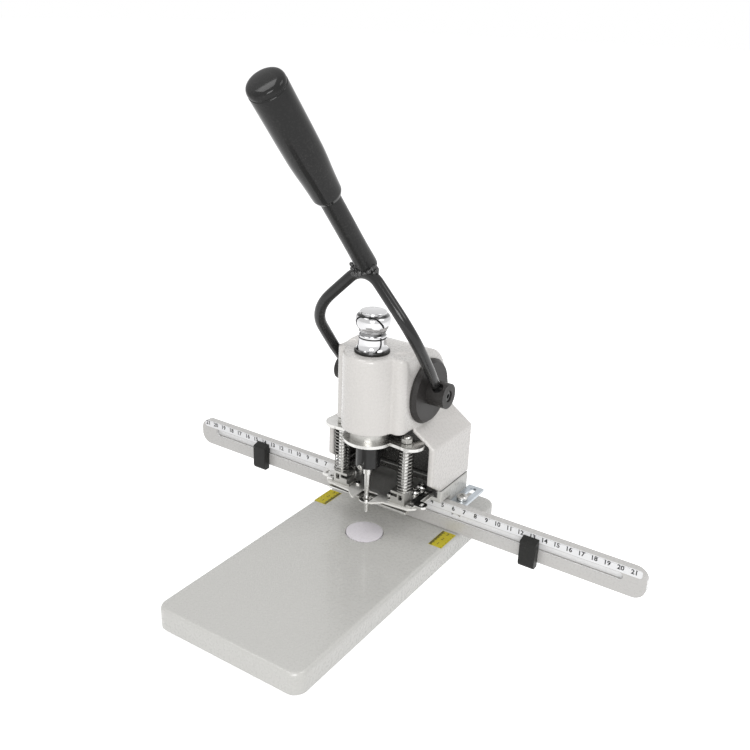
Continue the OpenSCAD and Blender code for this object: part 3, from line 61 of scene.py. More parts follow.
def makeCamera(settings):
    back = Vector(settings["back"]).normalized()
    side = Vector((0, 0, 1)).cross(back).normalized()
    top = back.cross(side)
    roll = math.radians(settings["roll"])
    right = side * math.cos(roll) + top * math.sin(roll)
    above = top * math.cos(roll) - side * math.sin(roll)
    data = bpy.data.cameras.new("studioCamera")
    data.lens = settings["lens"]
    data.sensor_width = 36
    camera = bpy.data.objects.new("studioCamera", data)
    bpy.context.scene.collection.objects.link(camera)
    turn = Matrix((right, above, back)).transposed().to_4x4()
    camera.matrix_world = Matrix.Translation(settings["place"]) @ turn
    bpy.context.scene.camera = camera


makeCamera(cameraSettings)
bpy.context.scene.view_settings.view_transform = "Standard"

studio = {
    "worldLevel": 0.46,
    "floorSize": 30.0,
    "floorColor": (0.80, 0.80, 0.80, 1),
    "floorGlow": 0.75,
    "lamps": {                               # place, target, size, watts
        "keyLamp": ((0.7, -1.3, 0.85), (0, 0, 0.12), 0.7, 13.5),
        "sideLamp": ((1.1, 0.3, 1.35), (0, 0, 0.12), 0.7, 5.0),
        "topLamp": ((-0.5, -0.5, 1.5), (0, 0, 0.1), 0.6, 5.0),
    },
}


def compute(tree, kind, first, second):
    node = tree.nodes.new("ShaderNodeMath")
    node.operation = kind
    for slot, value in enumerate((first, second)):
        if isinstance(value, (int, float)):
            node.inputs[slot].default_value = value
        else:
            tree.links.new(value, node.inputs[slot])
    return node.outputs[0]


def seenRays(tree):
    # camera, glossy and transmission rays
    path = tree.nodes.new("ShaderNodeLightPath")
    seen = compute(tree, "MAXIMUM", path.outputs["Is Camera Ray"], path.outputs["Is Glossy Ray"])
    return compute(tree, "MAXIMUM", seen, path.outputs["Is Transmission Ray"])


def makeWorld(settings):
    world = bpy.data.worlds.new("paleStudio")
    bpy.context.scene.world = world
    world.use_nodes = True
    tree = world.node_tree
    tree.nodes.clear()
    level = tree.nodes.new("ShaderNodeMapRange")
    level.inputs["To Min"].default_value = settings["worldLevel"]
    level.inputs["To Max"].default_value = 1.0
    tree.links.new(seenRays(tree), level.inputs["Value"])
    background = tree.nodes.new("ShaderNodeBackground")
    background.inputs["Color"].default_value = (1, 1, 1, 1)
    tree.links.new(level.outputs["Result"], background.inputs["Strength"])
    output = tree.nodes.new("ShaderNodeOutputWorld")
    tree.links.new(background.outputs[0], output.inputs["Surface"])


def makeFloor(settings):
    bpy.ops.mesh.primitive_plane_add(size=settings["floorSize"], location=(0, 0, 0))
    floor = bpy.context.active_object
    floor.name = "studioFloor"
    material = bpy.data.materials.new("floorPaper")
    material.use_nodes = True
    tree = material.node_tree
    tree.nodes.clear()
    diffuse = tree.nodes.new("ShaderNodeBsdfDiffuse")
    diffuse.inputs["Color"].default_value = settings["floorColor"]
    glow = compute(tree, "MULTIPLY", seenRays(tree), settings["floorGlow"])
    emission = tree.nodes.new("ShaderNodeEmission")
    tree.links.new(glow, emission.inputs["Strength"])
    both = tree.nodes.new("ShaderNodeAddShader")
    tree.links.new(diffuse.outputs[0], both.inputs[0])
    tree.links.new(emission.outputs[0], both.inputs[1])
    output = tree.nodes.new("ShaderNodeOutputMaterial")
    tree.links.new(both.outputs[0], output.inputs["Surface"])
    floor.data.materials.append(material)


def makeLamps(lamps):
    for name, (place, target, size, watts) in lamps.items():
        data = bpy.data.lights.new(name, "AREA")
        data.size = size
        data.energy = watts
        lamp = bpy.data.objects.new(name, data)
        bpy.context.scene.collection.objects.link(lamp)
        aim = Vector(target) - Vector(place)
        lamp.matrix_world = Matrix.Translation(place) @ aim.to_track_quat("-Z", "Y").to_matrix().to_4x4()


makeWorld(studio)
makeFloor(studio)
makeLamps(studio["lamps"])
print("studio ready")

# ---- node groups that several finishes share ----


groupOutputs = {"Color": "Color", "Roughness": "Float", "Height": "Float"}


def newGroup(name, numbers, colors):
    # an empty group with named inputs, and its two end nodes
    group = bpy.data.node_groups.new(name, "ShaderNodeTree")
    for key, value in numbers.items():
        socket = group.interface.new_socket(name=key, in_out="INPUT", socket_type="NodeSocketFloat")
        socket.default_value = value
    for key, value in colors.items():
        socket = group.interface.new_socket(name=key, in_out="INPUT", socket_type="NodeSocketColor")
        socket.default_value = (*value, 1)
    for key, kind in groupOutputs.items():
        group.interface.new_socket(name=key, in_out="OUTPUT", socket_type="NodeSocket" + kind)
    return group, group.nodes.new("NodeGroupInput"), group.nodes.new("NodeGroupOutput")


def sendOut(group, sink, values):
    for key, value in zip(groupOutputs, values):
        group.links.new(value, sink.inputs[key])


def addNoise(tree, place, scale, detail=3.0, stretch=None, scaleFrom=None):
    coords = tree.nodes.new("ShaderNodeTexCoord")
    mapping = tree.nodes.new("ShaderNodeMapping")
    mapping.inputs["Location"].default_value = place
    if stretch:
        mapping.inputs["Scale"].default_value = stretch
    noise = tree.nodes.new("ShaderNodeTexNoise")
    noise.inputs["Scale"].default_value = scale
    noise.inputs["Detail"].default_value = detail
    tree.links.new(coords.outputs["Object"], mapping.inputs["Vector"])
    tree.links.new(mapping.outputs["Vector"], noise.inputs["Vector"])
    if scaleFrom:
        tree.links.new(scaleFrom, noise.inputs["Scale"])
    return noise.outputs["Fac"]


def spread(tree, value, low, high, fromLow=0.3, fromHigh=0.7):
    # stretches a pattern between two values, which may be numbers or sockets
    node = tree.nodes.new("ShaderNodeMapRange")
    node.inputs["From Min"].default_value = fromLow
    node.inputs["From Max"].default_value = fromHigh
    for key, end in (("To Min", low), ("To Max", high)):
        if isinstance(end, (int, float)):
            node.inputs[key].default_value = end
        else:
            tree.links.new(end, node.inputs[key])
    tree.links.new(value, node.inputs["Value"])
    return node.outputs["Result"]


def mixColors(tree, share, first, second, kind="MIX"):
    node = tree.nodes.new("ShaderNodeMix")
    node.data_type = "RGBA"
    node.blend_type = kind
    for key, value in ((0, share), (6, first), (7, second)):
        if isinstance(value, (int, float)):
            node.inputs[key].default_value = value
        elif isinstance(value, tuple):
            node.inputs[key].default_value = (*value, 1)
        else:
            tree.links.new(value, node.inputs[key])
    return node.outputs[2]


def makePaintGroup():
    # sprayed paint over a casting: soft waves, a fine orange skin and a little grime
    group, source, sink = newGroup(
        "castPaint", {"Skin Scale": 900.0, "Skin Depth": 0.35, "Rough Low": 0.34, "Rough High": 0.5, "Grime": 0.12},
        {"Paint": (0.6, 0.6, 0.6), "Grime Color": (0.3, 0.29, 0.27)})
    skin = addNoise(group, (0, 0, 0), 900, 2.0, scaleFrom=source.outputs["Skin Scale"])
    waves = addNoise(group, (0.31, 0.12, 0.05), 55, 2.0)
    cloud = addNoise(group, (0.7, 0.2, 0.4), 14, 4.0)
    speck = addNoise(group, (0.2, 0.8, 0.1), 420, 3.0)
    dirt = compute(group, "MULTIPLY", spread(group, cloud, 0.0, 1.0, 0.45, 0.75),
                   spread(group, speck, 0.2, 1.0, 0.4, 0.65))
    dirt = compute(group, "MULTIPLY", dirt, source.outputs["Grime"])
    color = mixColors(group, dirt, source.outputs["Paint"], source.outputs["Grime Color"])
    shade = mixColors(group, spread(group, speck, 0.0, 0.018, 0.35, 0.7), color, (0.0, 0.0, 0.0))
    rough = spread(group, speck, source.outputs["Rough Low"], source.outputs["Rough High"], 0.35, 0.65)
    height = compute(group, "ADD", compute(group, "MULTIPLY", skin, source.outputs["Skin Depth"]), waves)
    sendOut(group, sink, (shade, rough, height))
    return group


def makeMetalGroup():
    # drawn or ground metal: long fine lines one way, with soft clouds and small marks
    group, source, sink = newGroup(
        "grainedMetal", {"Line Scale": 900.0, "Line Depth": 0.5, "Rough Low": 0.2, "Rough High": 0.38, "Marks": 0.3},
        {"Metal": (0.6, 0.6, 0.6), "Mark Color": (0.25, 0.24, 0.22)})
    lines = addNoise(group, (0.1, 0.3, 0.2), 900, 3.0, (0.06, 1.0, 1.0), source.outputs["Line Scale"])
    cloud = addNoise(group, (0.5, 0.1, 0.3), 60, 3.0)
    pits = addNoise(group, (0.9, 0.4, 0.2), 650, 4.0)
    mark = compute(group, "MULTIPLY", spread(group, pits, 0.0, 1.0, 0.58, 0.78), source.outputs["Marks"])
    base = mixColors(group, spread(group, cloud, 0.0, 0.22, 0.35, 0.7),
                     source.outputs["Metal"], source.outputs["Mark Color"])
    color = mixColors(group, mark, base, source.outputs["Mark Color"])
    both = compute(group, "ADD", compute(group, "MULTIPLY", lines, 0.5), compute(group, "MULTIPLY", cloud, 0.5))
    rough = spread(group, both, source.outputs["Rough Low"], source.outputs["Rough High"], 0.38, 0.62)
    height = compute(group, "SUBTRACT", compute(group, "MULTIPLY", lines, source.outputs["Line Depth"]), mark)
    sendOut(group, sink, (color, rough, height))
    return group


def makeMouldGroup():
    # moulded plastic, rubber and enamel: small grain, dust that lies in patches
    group, source, sink = newGroup(
        "mouldedSkin", {"Grain Scale": 1400.0, "Grain Depth": 0.4, "Rough Low": 0.3, "Rough High": 0.45, "Dust": 0.1},
        {"Plastic": (0.02, 0.02, 0.02), "Dust Color": (0.35, 0.34, 0.32)})
    grain = addNoise(group, (0.2, 0.2, 0.6), 1400, 2.0, scaleFrom=source.outputs["Grain Scale"])
    cloud = addNoise(group, (0.4, 0.9, 0.3), 38, 4.0)
    fine = addNoise(group, (0.6, 0.3, 0.8), 700, 3.0)
    dust = compute(group, "MULTIPLY", spread(group, cloud, 0.15, 1.0, 0.4, 0.75),
                   spread(group, fine, 0.0, 1.0, 0.5, 0.7))
    dust = compute(group, "MULTIPLY", dust, source.outputs["Dust"])
    color = mixColors(group, dust, source.outputs["Plastic"], source.outputs["Dust Color"])
    rough = spread(group, cloud, source.outputs["Rough Low"], source.outputs["Rough High"], 0.35, 0.65)
    height = compute(group, "MULTIPLY", grain, source.outputs["Grain Depth"])
    sendOut(group, sink, (color, rough, height))
    return group


effects = {"paint": makePaintGroup(), "metal": makeMetalGroup(), "mould": makeMouldGroup()}
print("node groups ready")

# ---- finishes ----

finishes = {
    "castingPaint": {
        "effect": "paint",
        "inputs": {"Paint": (0.650, 0.630, 0.608), "Grime": 0.04, "Rough Low": 0.24, "Rough High": 0.32},
        "bump": (0.012, 0.0001), "coat": 0.3, "cavity": "head"},
    "platePaint": {
        "effect": "paint",
        "inputs": {"Paint": (0.545, 0.541, 0.518), "Grime": 0.05, "Rough Low": 0.24, "Rough High": 0.34},
        "bump": (0.012, 0.0001), "coat": 0.3, "cavity": "base"},
    "fencePaint": {
        "effect": "paint",
        "inputs": {"Paint": (0.545, 0.535, 0.520), "Grime": 0.04, "Rough Low": 0.24, "Rough High": 0.34},
        "bump": (0.012, 0.0001), "coat": 0.3, "groove": True},
    "rolledSteel": {
        "effect": "metal",
        "inputs": {"Metal": (0.50, 0.495, 0.475), "Marks": 0.35, "Rough Low": 0.34, "Rough High": 0.48},
        "bump": (0.12, 0.0001), "metallic": 1.0},
    "plateSteel": {
        "effect": "metal",
        "inputs": {"Metal": (0.74, 0.735, 0.71), "Marks": 0.30, "Rough Low": 0.42, "Rough High": 0.56},
        "bump": (0.12, 0.0001), "metallic": 1.0, "paintedSheen": True},
    "brightSteel": {
        "effect": "metal",
        "inputs": {"Metal": (0.66, 0.655, 0.64), "Marks": 0.15, "Rough Low": 0.18, "Rough High": 0.30},
        "bump": (0.08, 0.0001), "metallic": 1.0},
    "springSteel": {
        "effect": "metal",
        "inputs": {"Metal": (0.36, 0.355, 0.34), "Marks": 0.20, "Rough Low": 0.24, "Rough High": 0.36},
        "bump": (0.08, 0.0001), "metallic": 1.0},
    "zincPlate": {
        "effect": "metal",
        "inputs": {"Metal": (0.50, 0.54, 0.58), "Marks": 0.35, "Rough Low": 0.26, "Rough High": 0.42},
        "bump": (0.15, 0.0001), "metallic": 1.0},
    "chromePlate": {
        "effect": "metal",
        "inputs": {"Metal": (0.66, 0.66, 0.67), "Marks": 0.05, "Rough Low": 0.05, "Rough High": 0.10},
        "bump": (0.03, 0.0001), "metallic": 1.0, "rings": True},
    "bearingBrass": {
        "effect": "metal", "inputs": {"Metal": (0.55, 0.42, 0.20), "Marks": 0.2, "Rough Low": 0.22, "Rough High": 0.36},
        "bump": (0.1, 0.0001), "metallic": 1.0},
    "blackEnamel": {
        "effect": "mould", "inputs": {"Plastic": (0.016, 0.016, 0.016), "Grain Scale": 500, "Dust": 0.05,
                                      "Rough Low": 0.12, "Rough High": 0.20},
        "bump": (0.04, 0.0001), "specular": 0.34},
    "rodEnamel": {
        "effect": "mould", "inputs": {"Plastic": (0.014, 0.014, 0.014), "Grain Scale": 420, "Dust": 0.08,
                                      "Rough Low": 0.24, "Rough High": 0.34},
        "bump": (0.05, 0.0001), "specular": 0.2},
    "weldScale": {
        "effect": "mould", "inputs": {"Plastic": (0.02, 0.02, 0.02), "Grain Scale": 900, "Dust": 0.4,
                                      "Dust Color": (0.4, 0.4, 0.4), "Rough Low": 0.12, "Rough High": 0.25},
        "bump": (0.4, 0.0002), "specular": 0.6},
    "charcoalPlastic": {
        "effect": "mould",
        "inputs": {"Plastic": (0.030, 0.028, 0.027), "Dust": 0.08, "Rough Low": 0.34, "Rough High": 0.46},
        "bump": (0.12, 0.0001), "specular": 0.22},
    "gripPlastic": {
        "effect": "mould",
        "inputs": {"Plastic": (0.016, 0.016, 0.016), "Dust": 0.06, "Rough Low": 0.09, "Rough High": 0.16},
        "bump": (0.01, 0.0001), "specular": 0.2},
    "stopPlastic": {
        "effect": "mould",
        "inputs": {"Plastic": (0.014, 0.014, 0.013), "Dust": 0.06, "Rough Low": 0.34, "Rough High": 0.46},
        "bump": (0.15, 0.0001), "specular": 0.2},
    "padNylon": {
        "effect": "mould", "inputs": {"Plastic": (0.78, 0.75, 0.79), "Dust": 0.25, "Dust Color": (0.3, 0.3, 0.3),
                                      "Rough Low": 0.38, "Rough High": 0.55},
        "bump": (0.15, 0.0001)},
    "printedStrip": {
        "effect": "mould", "inputs": {"Plastic": (0.82, 0.82, 0.83), "Dust": 0.08, "Dust Color": (0.35, 0.35, 0.35),
                                      "Rough Low": 0.30, "Rough High": 0.4},
        "bump": (0.05, 0.0001)},
    "scaleYellow": {
        "effect": "mould", "inputs": {"Plastic": (0.56, 0.47, 0.012), "Dust": 0.25, "Dust Color": (0.25, 0.22, 0.02),
                                      "Rough Low": 0.34, "Rough High": 0.45},
        "bump": (0.05, 0.0001)},
    "printedInk": {
        "effect": "mould",
        "inputs": {"Plastic": (0.012, 0.012, 0.014), "Dust": 0.15, "Rough Low": 0.4, "Rough High": 0.5},
        "bump": (0.05, 0.0001)},
    "footRubber": {
        "effect": "mould",
        "inputs": {"Plastic": (0.025, 0.025, 0.025), "Dust": 0.3, "Rough Low": 0.6, "Rough High": 0.75},
        "bump": (0.3, 0.0001)},
}

# bounds of the painted throat shade, in world millimetres: half width, front, rear, low, high, seam height
cavities = {"head": (46.3, 48.2, 86.0, 58.0, 117.4, 60.6), "base": (46.3, 47.0, 86.0, 53.2, 59.6, 60.4)}
# near-black painted shade for the throat's inside and for the joint line
throatShadeColor = (0.012, 0.011, 0.010)
shoulderLine = (0.684, 134.6)                # slope and sum of the line just under the sloping shoulder
# dark painted-reflection bands round the knob and collar: height and half width in millimetres
reflectionBands = [(190.55, 0.7), (193.9, 1.3), (196.3, 0.35), (181.1, 1.1), (208.2, 0.9)]
reflectionBandColor = (0.03, 0.03, 0.03)
coatRoughness = 0.08


def objectMillimetres(tree):
    # the shaded spot's own x, y and z
    coords = tree.nodes.new("ShaderNodeTexCoord")
    parts = tree.nodes.new("ShaderNodeSeparateXYZ")
    tree.links.new(coords.outputs["Object"], parts.inputs[0])
    return [compute(tree, "MULTIPLY", parts.outputs[axis], 1000.0) for axis in range(3)]


def addCavity(tree, color, values):
    # painted shade: the inside of the throat painted near-black, and a dark line painted along the joint all round as
    # the shade in its gap
    half, front, rear, low, high, seam = values
    x, y, z = objectMillimetres(tree)
    inside = spread(tree, compute(tree, "ABSOLUTE", x, 0.0), 1.0, 0.0, half - 0.5, half + 0.3)
    behind = compute(tree, "MULTIPLY", spread(tree, y, 0.0, 1.0, front - 0.6, front + 0.6),
                     spread(tree, y, 1.0, 0.0, rear, rear + 0.6))
    above = spread(tree, z, 0.0, 1.0, low - 0.4, low + 0.4)
    slope, most = shoulderLine
    under = compute(tree, "ADD", z, compute(tree, "MULTIPLY", compute(tree, "ABSOLUTE", x, 0.0), slope))
    below = compute(tree, "MULTIPLY", spread(tree, z, 1.0, 0.0, high - 0.3, high + 0.3),
                    spread(tree, under, 1.0, 0.0, most - 0.5, most + 0.5))
    mask = compute(tree, "MULTIPLY", compute(tree, "MULTIPLY", inside, behind), compute(tree, "MULTIPLY", above, below))
    line = spread(tree, compute(tree, "ABSOLUTE", compute(tree, "SUBTRACT", z, seam), 0.0), 1.0, 0.0, 0.35, 0.85)
    past = spread(tree, y, 0.0, 1.0, front - 1.5, front + 0.5)
    dark = compute(tree, "MAXIMUM", mask, compute(tree, "MULTIPLY", compute(tree, "MULTIPLY", line, past), 0.9))
    return mixColors(tree, dark, color, throatShadeColor)


def addRings(tree, color):
    # painted reflection and shade: dark bands painted round the plated knob and collar at its grooves and steps,
    # standing in for the dark stripes chrome reflects
    z = objectMillimetres(tree)[2]
    total = None
    for height, half in reflectionBands:
        away = compute(tree, "ABSOLUTE", compute(tree, "SUBTRACT", z, height), 0.0)
        ring = spread(tree, away, 1.0, 0.0, half * 0.5, half * 1.3)
        total = ring if total is None else compute(tree, "MAXIMUM", total, ring)
    patch = spread(tree, addNoise(tree, (0.3, 0.6, 0.2), 130, 2.0), 0.72, 0.97, 0.35, 0.6)
    return mixColors(tree, compute(tree, "MULTIPLY", total, patch), color, reflectionBandColor)


# a painted reflection band along the stripper plate's front edge
paintedSheenEdge = {"bright": 31.0, "plain": 37.5, "color": (0.70, 0.69, 0.66), "metallic": 0.25}
# near-white painted light inside the fence's groove
paintedGrooveLight = {"front": 71.7, "back": 76.0, "low": 33.0, "high": 39.8, "color": (0.86, 0.86, 0.86)}


def rubbedMask(tree):
    # painted reflection: the sheet's front band is painted brighter and less metallic, standing in for the bright
    # surroundings it reflects there
    y = objectMillimetres(tree)[1]
    return spread(tree, y, 1.0, 0.0, paintedSheenEdge["bright"], paintedSheenEdge["plain"])


def grooveMask(tree):
    # painted light: the groove's walls and floor are painted near-white, so the recess reads bright instead of shaded
    x, y, z = objectMillimetres(tree)
    across = compute(tree, "MULTIPLY", spread(tree, y, 0.0, 1.0, paintedGrooveLight["front"], paintedGrooveLight["front"] + 0.3),
                     spread(tree, y, 1.0, 0.0, paintedGrooveLight["back"], paintedGrooveLight["back"] + 0.3))
    along = compute(tree, "MULTIPLY", spread(tree, z, 0.0, 1.0, paintedGrooveLight["low"], paintedGrooveLight["low"] + 0.1),
                    spread(tree, z, 1.0, 0.0, paintedGrooveLight["high"], paintedGrooveLight["high"] + 0.1))
    return compute(tree, "MULTIPLY", across, along)


def makeFinish(name, settings):
    material = bpy.data.materials.new(name)
    material.use_nodes = True
    tree = material.node_tree
    shader = tree.nodes["Principled BSDF"]
    effect = tree.nodes.new("ShaderNodeGroup")
    effect.node_tree = effects[settings["effect"]]
    for key, value in settings["inputs"].items():
        effect.inputs[key].default_value = (*value, 1) if isinstance(value, tuple) else value
    color = effect.outputs["Color"]
    # painted shade in the throat and along the joint between head and base
    if settings.get("cavity"):
        color = addCavity(tree, color, cavities[settings["cavity"]])
    # painted reflection: dark bands round the plated parts
    if settings.get("rings"):
        color = addRings(tree, color)
    # painted light inside the fence's groove
    if settings.get("groove"):
        color = mixColors(tree, grooveMask(tree), color, paintedGrooveLight["color"])
    # painted reflection along the stripper plate's front edge
    if settings.get("paintedSheen"):
        mask = rubbedMask(tree)
        color = mixColors(tree, mask, color, paintedSheenEdge["color"])
        metal = spread(tree, mask, 1.0, paintedSheenEdge["metallic"], 0.0, 1.0)
        tree.links.new(metal, shader.inputs["Metallic"])
    tree.links.new(color, shader.inputs["Base Color"])
    shader.inputs["Specular IOR Level"].default_value = settings.get("specular", 0.5)
    tree.links.new(effect.outputs["Roughness"], shader.inputs["Roughness"])
    shader.inputs["Metallic"].default_value = settings.get("metallic", 0.0)
    shader.inputs["Coat Weight"].default_value = settings.get("coat", 0.0)
    shader.inputs["Coat Roughness"].default_value = coatRoughness
    strength, distance = settings["bump"]
    bump = tree.nodes.new("ShaderNodeBump")
    bump.inputs["Strength"].default_value = strength
    bump.inputs["Distance"].default_value = distance
    tree.links.new(effect.outputs["Height"], bump.inputs["Height"])
    tree.links.new(bump.outputs["Normal"], shader.inputs["Normal"])
    return material


materials = {name: makeFinish(name, settings) for name, settings in finishes.items()}

slotFinishes = {
    "grey_paint": "castingPaint", "fence_paint": "fencePaint", "steel": "rolledSteel", "zinc": "zincPlate",
    "chrome": "chromePlate", "black_steel": "blackEnamel", "charcoal": "charcoalPlastic",
    "bearing_brass": "bearingBrass", "grip_black": "gripPlastic", "stop_black": "stopPlastic",
    "pad_white": "padNylon", "strip_white": "printedStrip",
    "scale_yellow": "scaleYellow", "rubber": "footRubber",
}
nodeFinishes = {                             # nodes whose finish differs from their slot's
    "base_plate": "platePaint", "bit_guide_plate": "brightSteel", "guide_rod_left": "brightSteel",
    "guide_rod_right": "brightSteel", "rod_nuts": "brightSteel", "plate_screws": "brightSteel",
    "guide_plate_screws": "brightSteel", "lift_plate_screws": "brightSteel", "hollow_bit": "brightSteel",
    "chuck_screw": "brightSteel", "pinion_shaft": "blackEnamel", "hub_screws": "blackEnamel",
    "plate_arm_left": "brightSteel", "plate_arm_right": "brightSteel",
}
slotOf = {sub["node"]: sub["material_slot"] for sub in frame["record"]["subparts"]}
for nodeName, slotName in slotOf.items():
    node = nodes[nodeName]
    finish = nodeFinishes.get(nodeName, slotFinishes[slotName])
    node.data.materials.clear()
    node.data.materials.append(materials[finish])
print("finishes ready")

# ---- tools for the pieces ----

axisShift = 30.5                             # from the base's middle back to the drill's axis


def at(x, y, z):
    # millimetres about the drill's axis, as metres about the base's middle
    return Vector((x, y + axisShift, z)) / 1000


def deselectAll():
    if bpy.context.mode != "OBJECT":
        bpy.ops.object.mode_set(mode="OBJECT")
    bpy.ops.object.select_all(action="DESELECT")


def pick(piece):
    deselectAll()
    piece.select_set(True)
    bpy.context.view_layer.objects.active = piece


def applyModifiers(piece):
    pick(piece)
    for modifier in list(piece.modifiers):
        bpy.ops.object.modifier_apply(modifier=modifier.name)


def copyNode(nodeName):
    # a merged copy of a CAD node's mesh, free to be shaped
    piece = nodes[nodeName].copy()
    piece.data = nodes[nodeName].data.copy()
    piece.parent = None
    for key in list(piece.keys()):
        del piece[key]
    piece.hide_render = piece.hide_viewport = False
    bpy.context.scene.collection.objects.link(piece)
    pick(piece)
    if piece.data.has_custom_normals:
        bpy.ops.mesh.customdata_custom_splitnormals_clear()
    bpy.ops.object.mode_set(mode="EDIT")
    bpy.ops.mesh.select_all(action="SELECT")
    bpy.ops.mesh.remove_doubles(threshold=0.000002)
    bpy.ops.object.mode_set(mode="OBJECT")
    return piece


def finishPiece(piece, name, body, finish, replaced=(), smoothAngle=32, weighted=False):
    applyModifiers(piece)
    bpy.ops.object.transform_apply(location=True, rotation=True, scale=True)
    piece.name = name
    piece.data.name = name
    bpy.ops.object.shade_smooth_by_angle(angle=math.radians(smoothAngle))
    if weighted:
        weigh = piece.modifiers.new("evenLight", "WEIGHTED_NORMAL")
        weigh.keep_sharp = True
        applyModifiers(piece)
    piece.data.materials.clear()
    piece.data.materials.append(materials[finish])
    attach(piece, body)
    if replaced:
        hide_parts(*replaced)
    deselectAll()
    return piece


def duplicate(piece):
    copy = piece.copy()
    copy.data = piece.data.copy()
    bpy.context.scene.collection.objects.link(copy)
    return copy


def addBevel(piece, width, segments=2, angle=38):
    # breaks the edges sharper than the angle
    bevel = piece.modifiers.new("brokenEdges", "BEVEL")
    bevel.width = width / 1000
    bevel.segments = segments
    bevel.limit_method = "ANGLE"
    bevel.angle_limit = math.radians(angle)


def closeShape():
    # in edit mode: turns every face outward, then leaves edit mode
    bpy.ops.mesh.select_all(action="SELECT")
    bpy.ops.mesh.normals_make_consistent(inside=False)
    bpy.ops.object.mode_set(mode="OBJECT")


def joinPieces(pieces):
    deselectAll()
    for piece in pieces:
        piece.select_set(True)
    bpy.context.view_layer.objects.active = pieces[0]
    bpy.ops.object.join()
    return pieces[0]


def softPlate(nodeName, name, body, width, finish):
    # the node's own shape with its edges broken
    piece = copyNode(nodeName)
    addBevel(piece, width)
    return finishPiece(piece, name, body, finish, [nodeName], 40, weighted=True)


def turnProfile(profile, sides, capStart=True):
    # a disc drawn up ring by ring about the Z axis, radius and height in millimetres
    deselectAll()
    radius, height = profile[0]
    bpy.ops.mesh.primitive_circle_add(vertices=sides, radius=radius / 1000, location=(0, 0, 0),
                                      fill_type="NGON" if capStart else "NOTHING")
    piece = bpy.context.active_object
    bpy.ops.object.mode_set(mode="EDIT")
    bpy.ops.mesh.select_all(action="SELECT")
    bpy.ops.transform.translate(value=(0, 0, height / 1000))
    for nextRadius, nextHeight in profile[1:]:
        lift = (0, 0, (nextHeight - height) / 1000)
        if capStart:
            bpy.ops.mesh.extrude_region_move(TRANSFORM_OT_translate={"value": lift})
        else:
            bpy.ops.mesh.extrude_edges_move(TRANSFORM_OT_translate={"value": lift})
        share = nextRadius / radius
        bpy.ops.transform.resize(value=(share, share, 1), center_override=(0, 0, nextHeight / 1000))
        radius, height = nextRadius, nextHeight
    closeShape()
    return piece


def placePiece(piece, place, lean=0.0):
    # lean turns the piece about the X axis before it is set down
    piece.matrix_world = Matrix.Translation(place) @ Matrix.Rotation(math.radians(lean), 4, "X")


def roundProfile(points, radii, steps=5):
    # rounds the inner corners of a profile, each with its own radius
    out = [points[0]]
    for index in range(1, len(points) - 1):
        here = Vector(points[index])
        before = Vector(points[index - 1]) - here
        after = Vector(points[index + 1]) - here
        size = min(radii[index], before.length * 0.49, after.length * 0.49)
        if size < 0.02:
            out.append(points[index])
            continue
        start = here + before.normalized() * size
        end = here + after.normalized() * size
        for step in range(steps + 1):
            t = step / steps
            spot = start * (1 - t) ** 2 + here * 2 * t * (1 - t) + end * t * t
            out.append((spot.x, spot.y))
    out.append(points[-1])
    return out


# ---- castings ----

castingSettings = {
    "headGrid": 0.00085, "headPasses": 7, "baseGrid": 0.00095, "basePasses": 7, "keep": 0.7,
}


def makeCasting(nodeName, name, finish, grid, passes, keep):
    # the casting's shape on an even net, rubbed soft as sand-cast iron is
    piece = copyNode(nodeName)
    net = piece.modifiers.new("evenNet", "REMESH")
    net.mode = "VOXEL"
    net.voxel_size = grid
    net.use_smooth_shade = True
    rub = piece.modifiers.new("rubbedEdges", "SMOOTH")
    rub.factor = 0.5
    rub.iterations = passes
    thin = piece.modifiers.new("fewerFaces", "DECIMATE")
    thin.ratio = keep
    applyModifiers(piece)
    print(name, "has", len(piece.data.polygons), "faces")
    return finishPiece(piece, name, "frame", finish, [nodeName], 60)


makeCasting("head_casting", "HeadCasting", "castingPaint", castingSettings["headGrid"],
            castingSettings["headPasses"], castingSettings["keep"])
makeCasting("base_plate", "BaseCasting", "platePaint", castingSettings["baseGrid"],
            castingSettings["basePasses"], castingSettings["keep"])
print("castings ready")

# ---- lever: bent bar, rod, grip and weld ----

leverSettings = {
    "slope": 49.4, "apexY": -12.8, "cornerY": -16.3, "cornerH": 184.0, "apexH": 227.0, "apexR": 17.4,
    "legX": 43.6, "deck": 22.0, "back": 5.2, "gripStart": 76.0,
    "gripRings": [(8.4, 0.0), (9.2, 0.4), (10.4, 3.4), (10.78, 12.2), (11.3, 20.7), (11.9, 28.2), (12.4, 37.6),
                  (12.58, 56.4), (12.65, 80.0), (12.7, 92.6), (12.3, 93.0), (12.3, 93.7), (12.6, 94.1), (12.55, 95.2),
                  (12.2, 96.4), (11.4, 97.5), (9.6, 98.3), (6.6, 98.8), (3.4, 99.1)],
    "gripRounds": [0, 0.3, 0.6, 3, 3, 3, 4, 4, 2, 0.2, 0.15, 0.15, 0.2, 1.0, 1.2, 1.2, 1.2, 2.0, 0],
}


def leverFrame(settings):
    # where the rod stands on the bent bar and how far it leans, worked out as in the part's source
    tilt = math.atan2(settings["apexH"] - settings["cornerH"], settings["legX"])
    drop = settings["apexR"] * (1 / math.cos(tilt) - 1)
    height = settings["deck"] + settings["apexH"] - drop
    y = settings["apexY"] - drop * (settings["apexY"] - settings["cornerY"]) / (settings["apexH"] - settings["cornerH"])
    lean = 90 - settings["slope"]
    offset = Matrix.Rotation(math.radians(lean), 3, "X") @ Vector((0, settings["back"], 0))
    return Vector((0, y + offset.y, height + offset.z)), lean


rodPlace, rodLean = leverFrame(leverSettings)


def makeGrip(settings):
    rings = [(r, settings["gripStart"] + h) for r, h in settings["gripRings"]]
    grip = turnProfile(roundProfile(rings, settings["gripRounds"], 4), 72)
    placePiece(grip, at(*rodPlace), rodLean)
    finishPiece(grip, "LeverGrip", "lever", "gripPlastic", ["lever_grip"], 50)


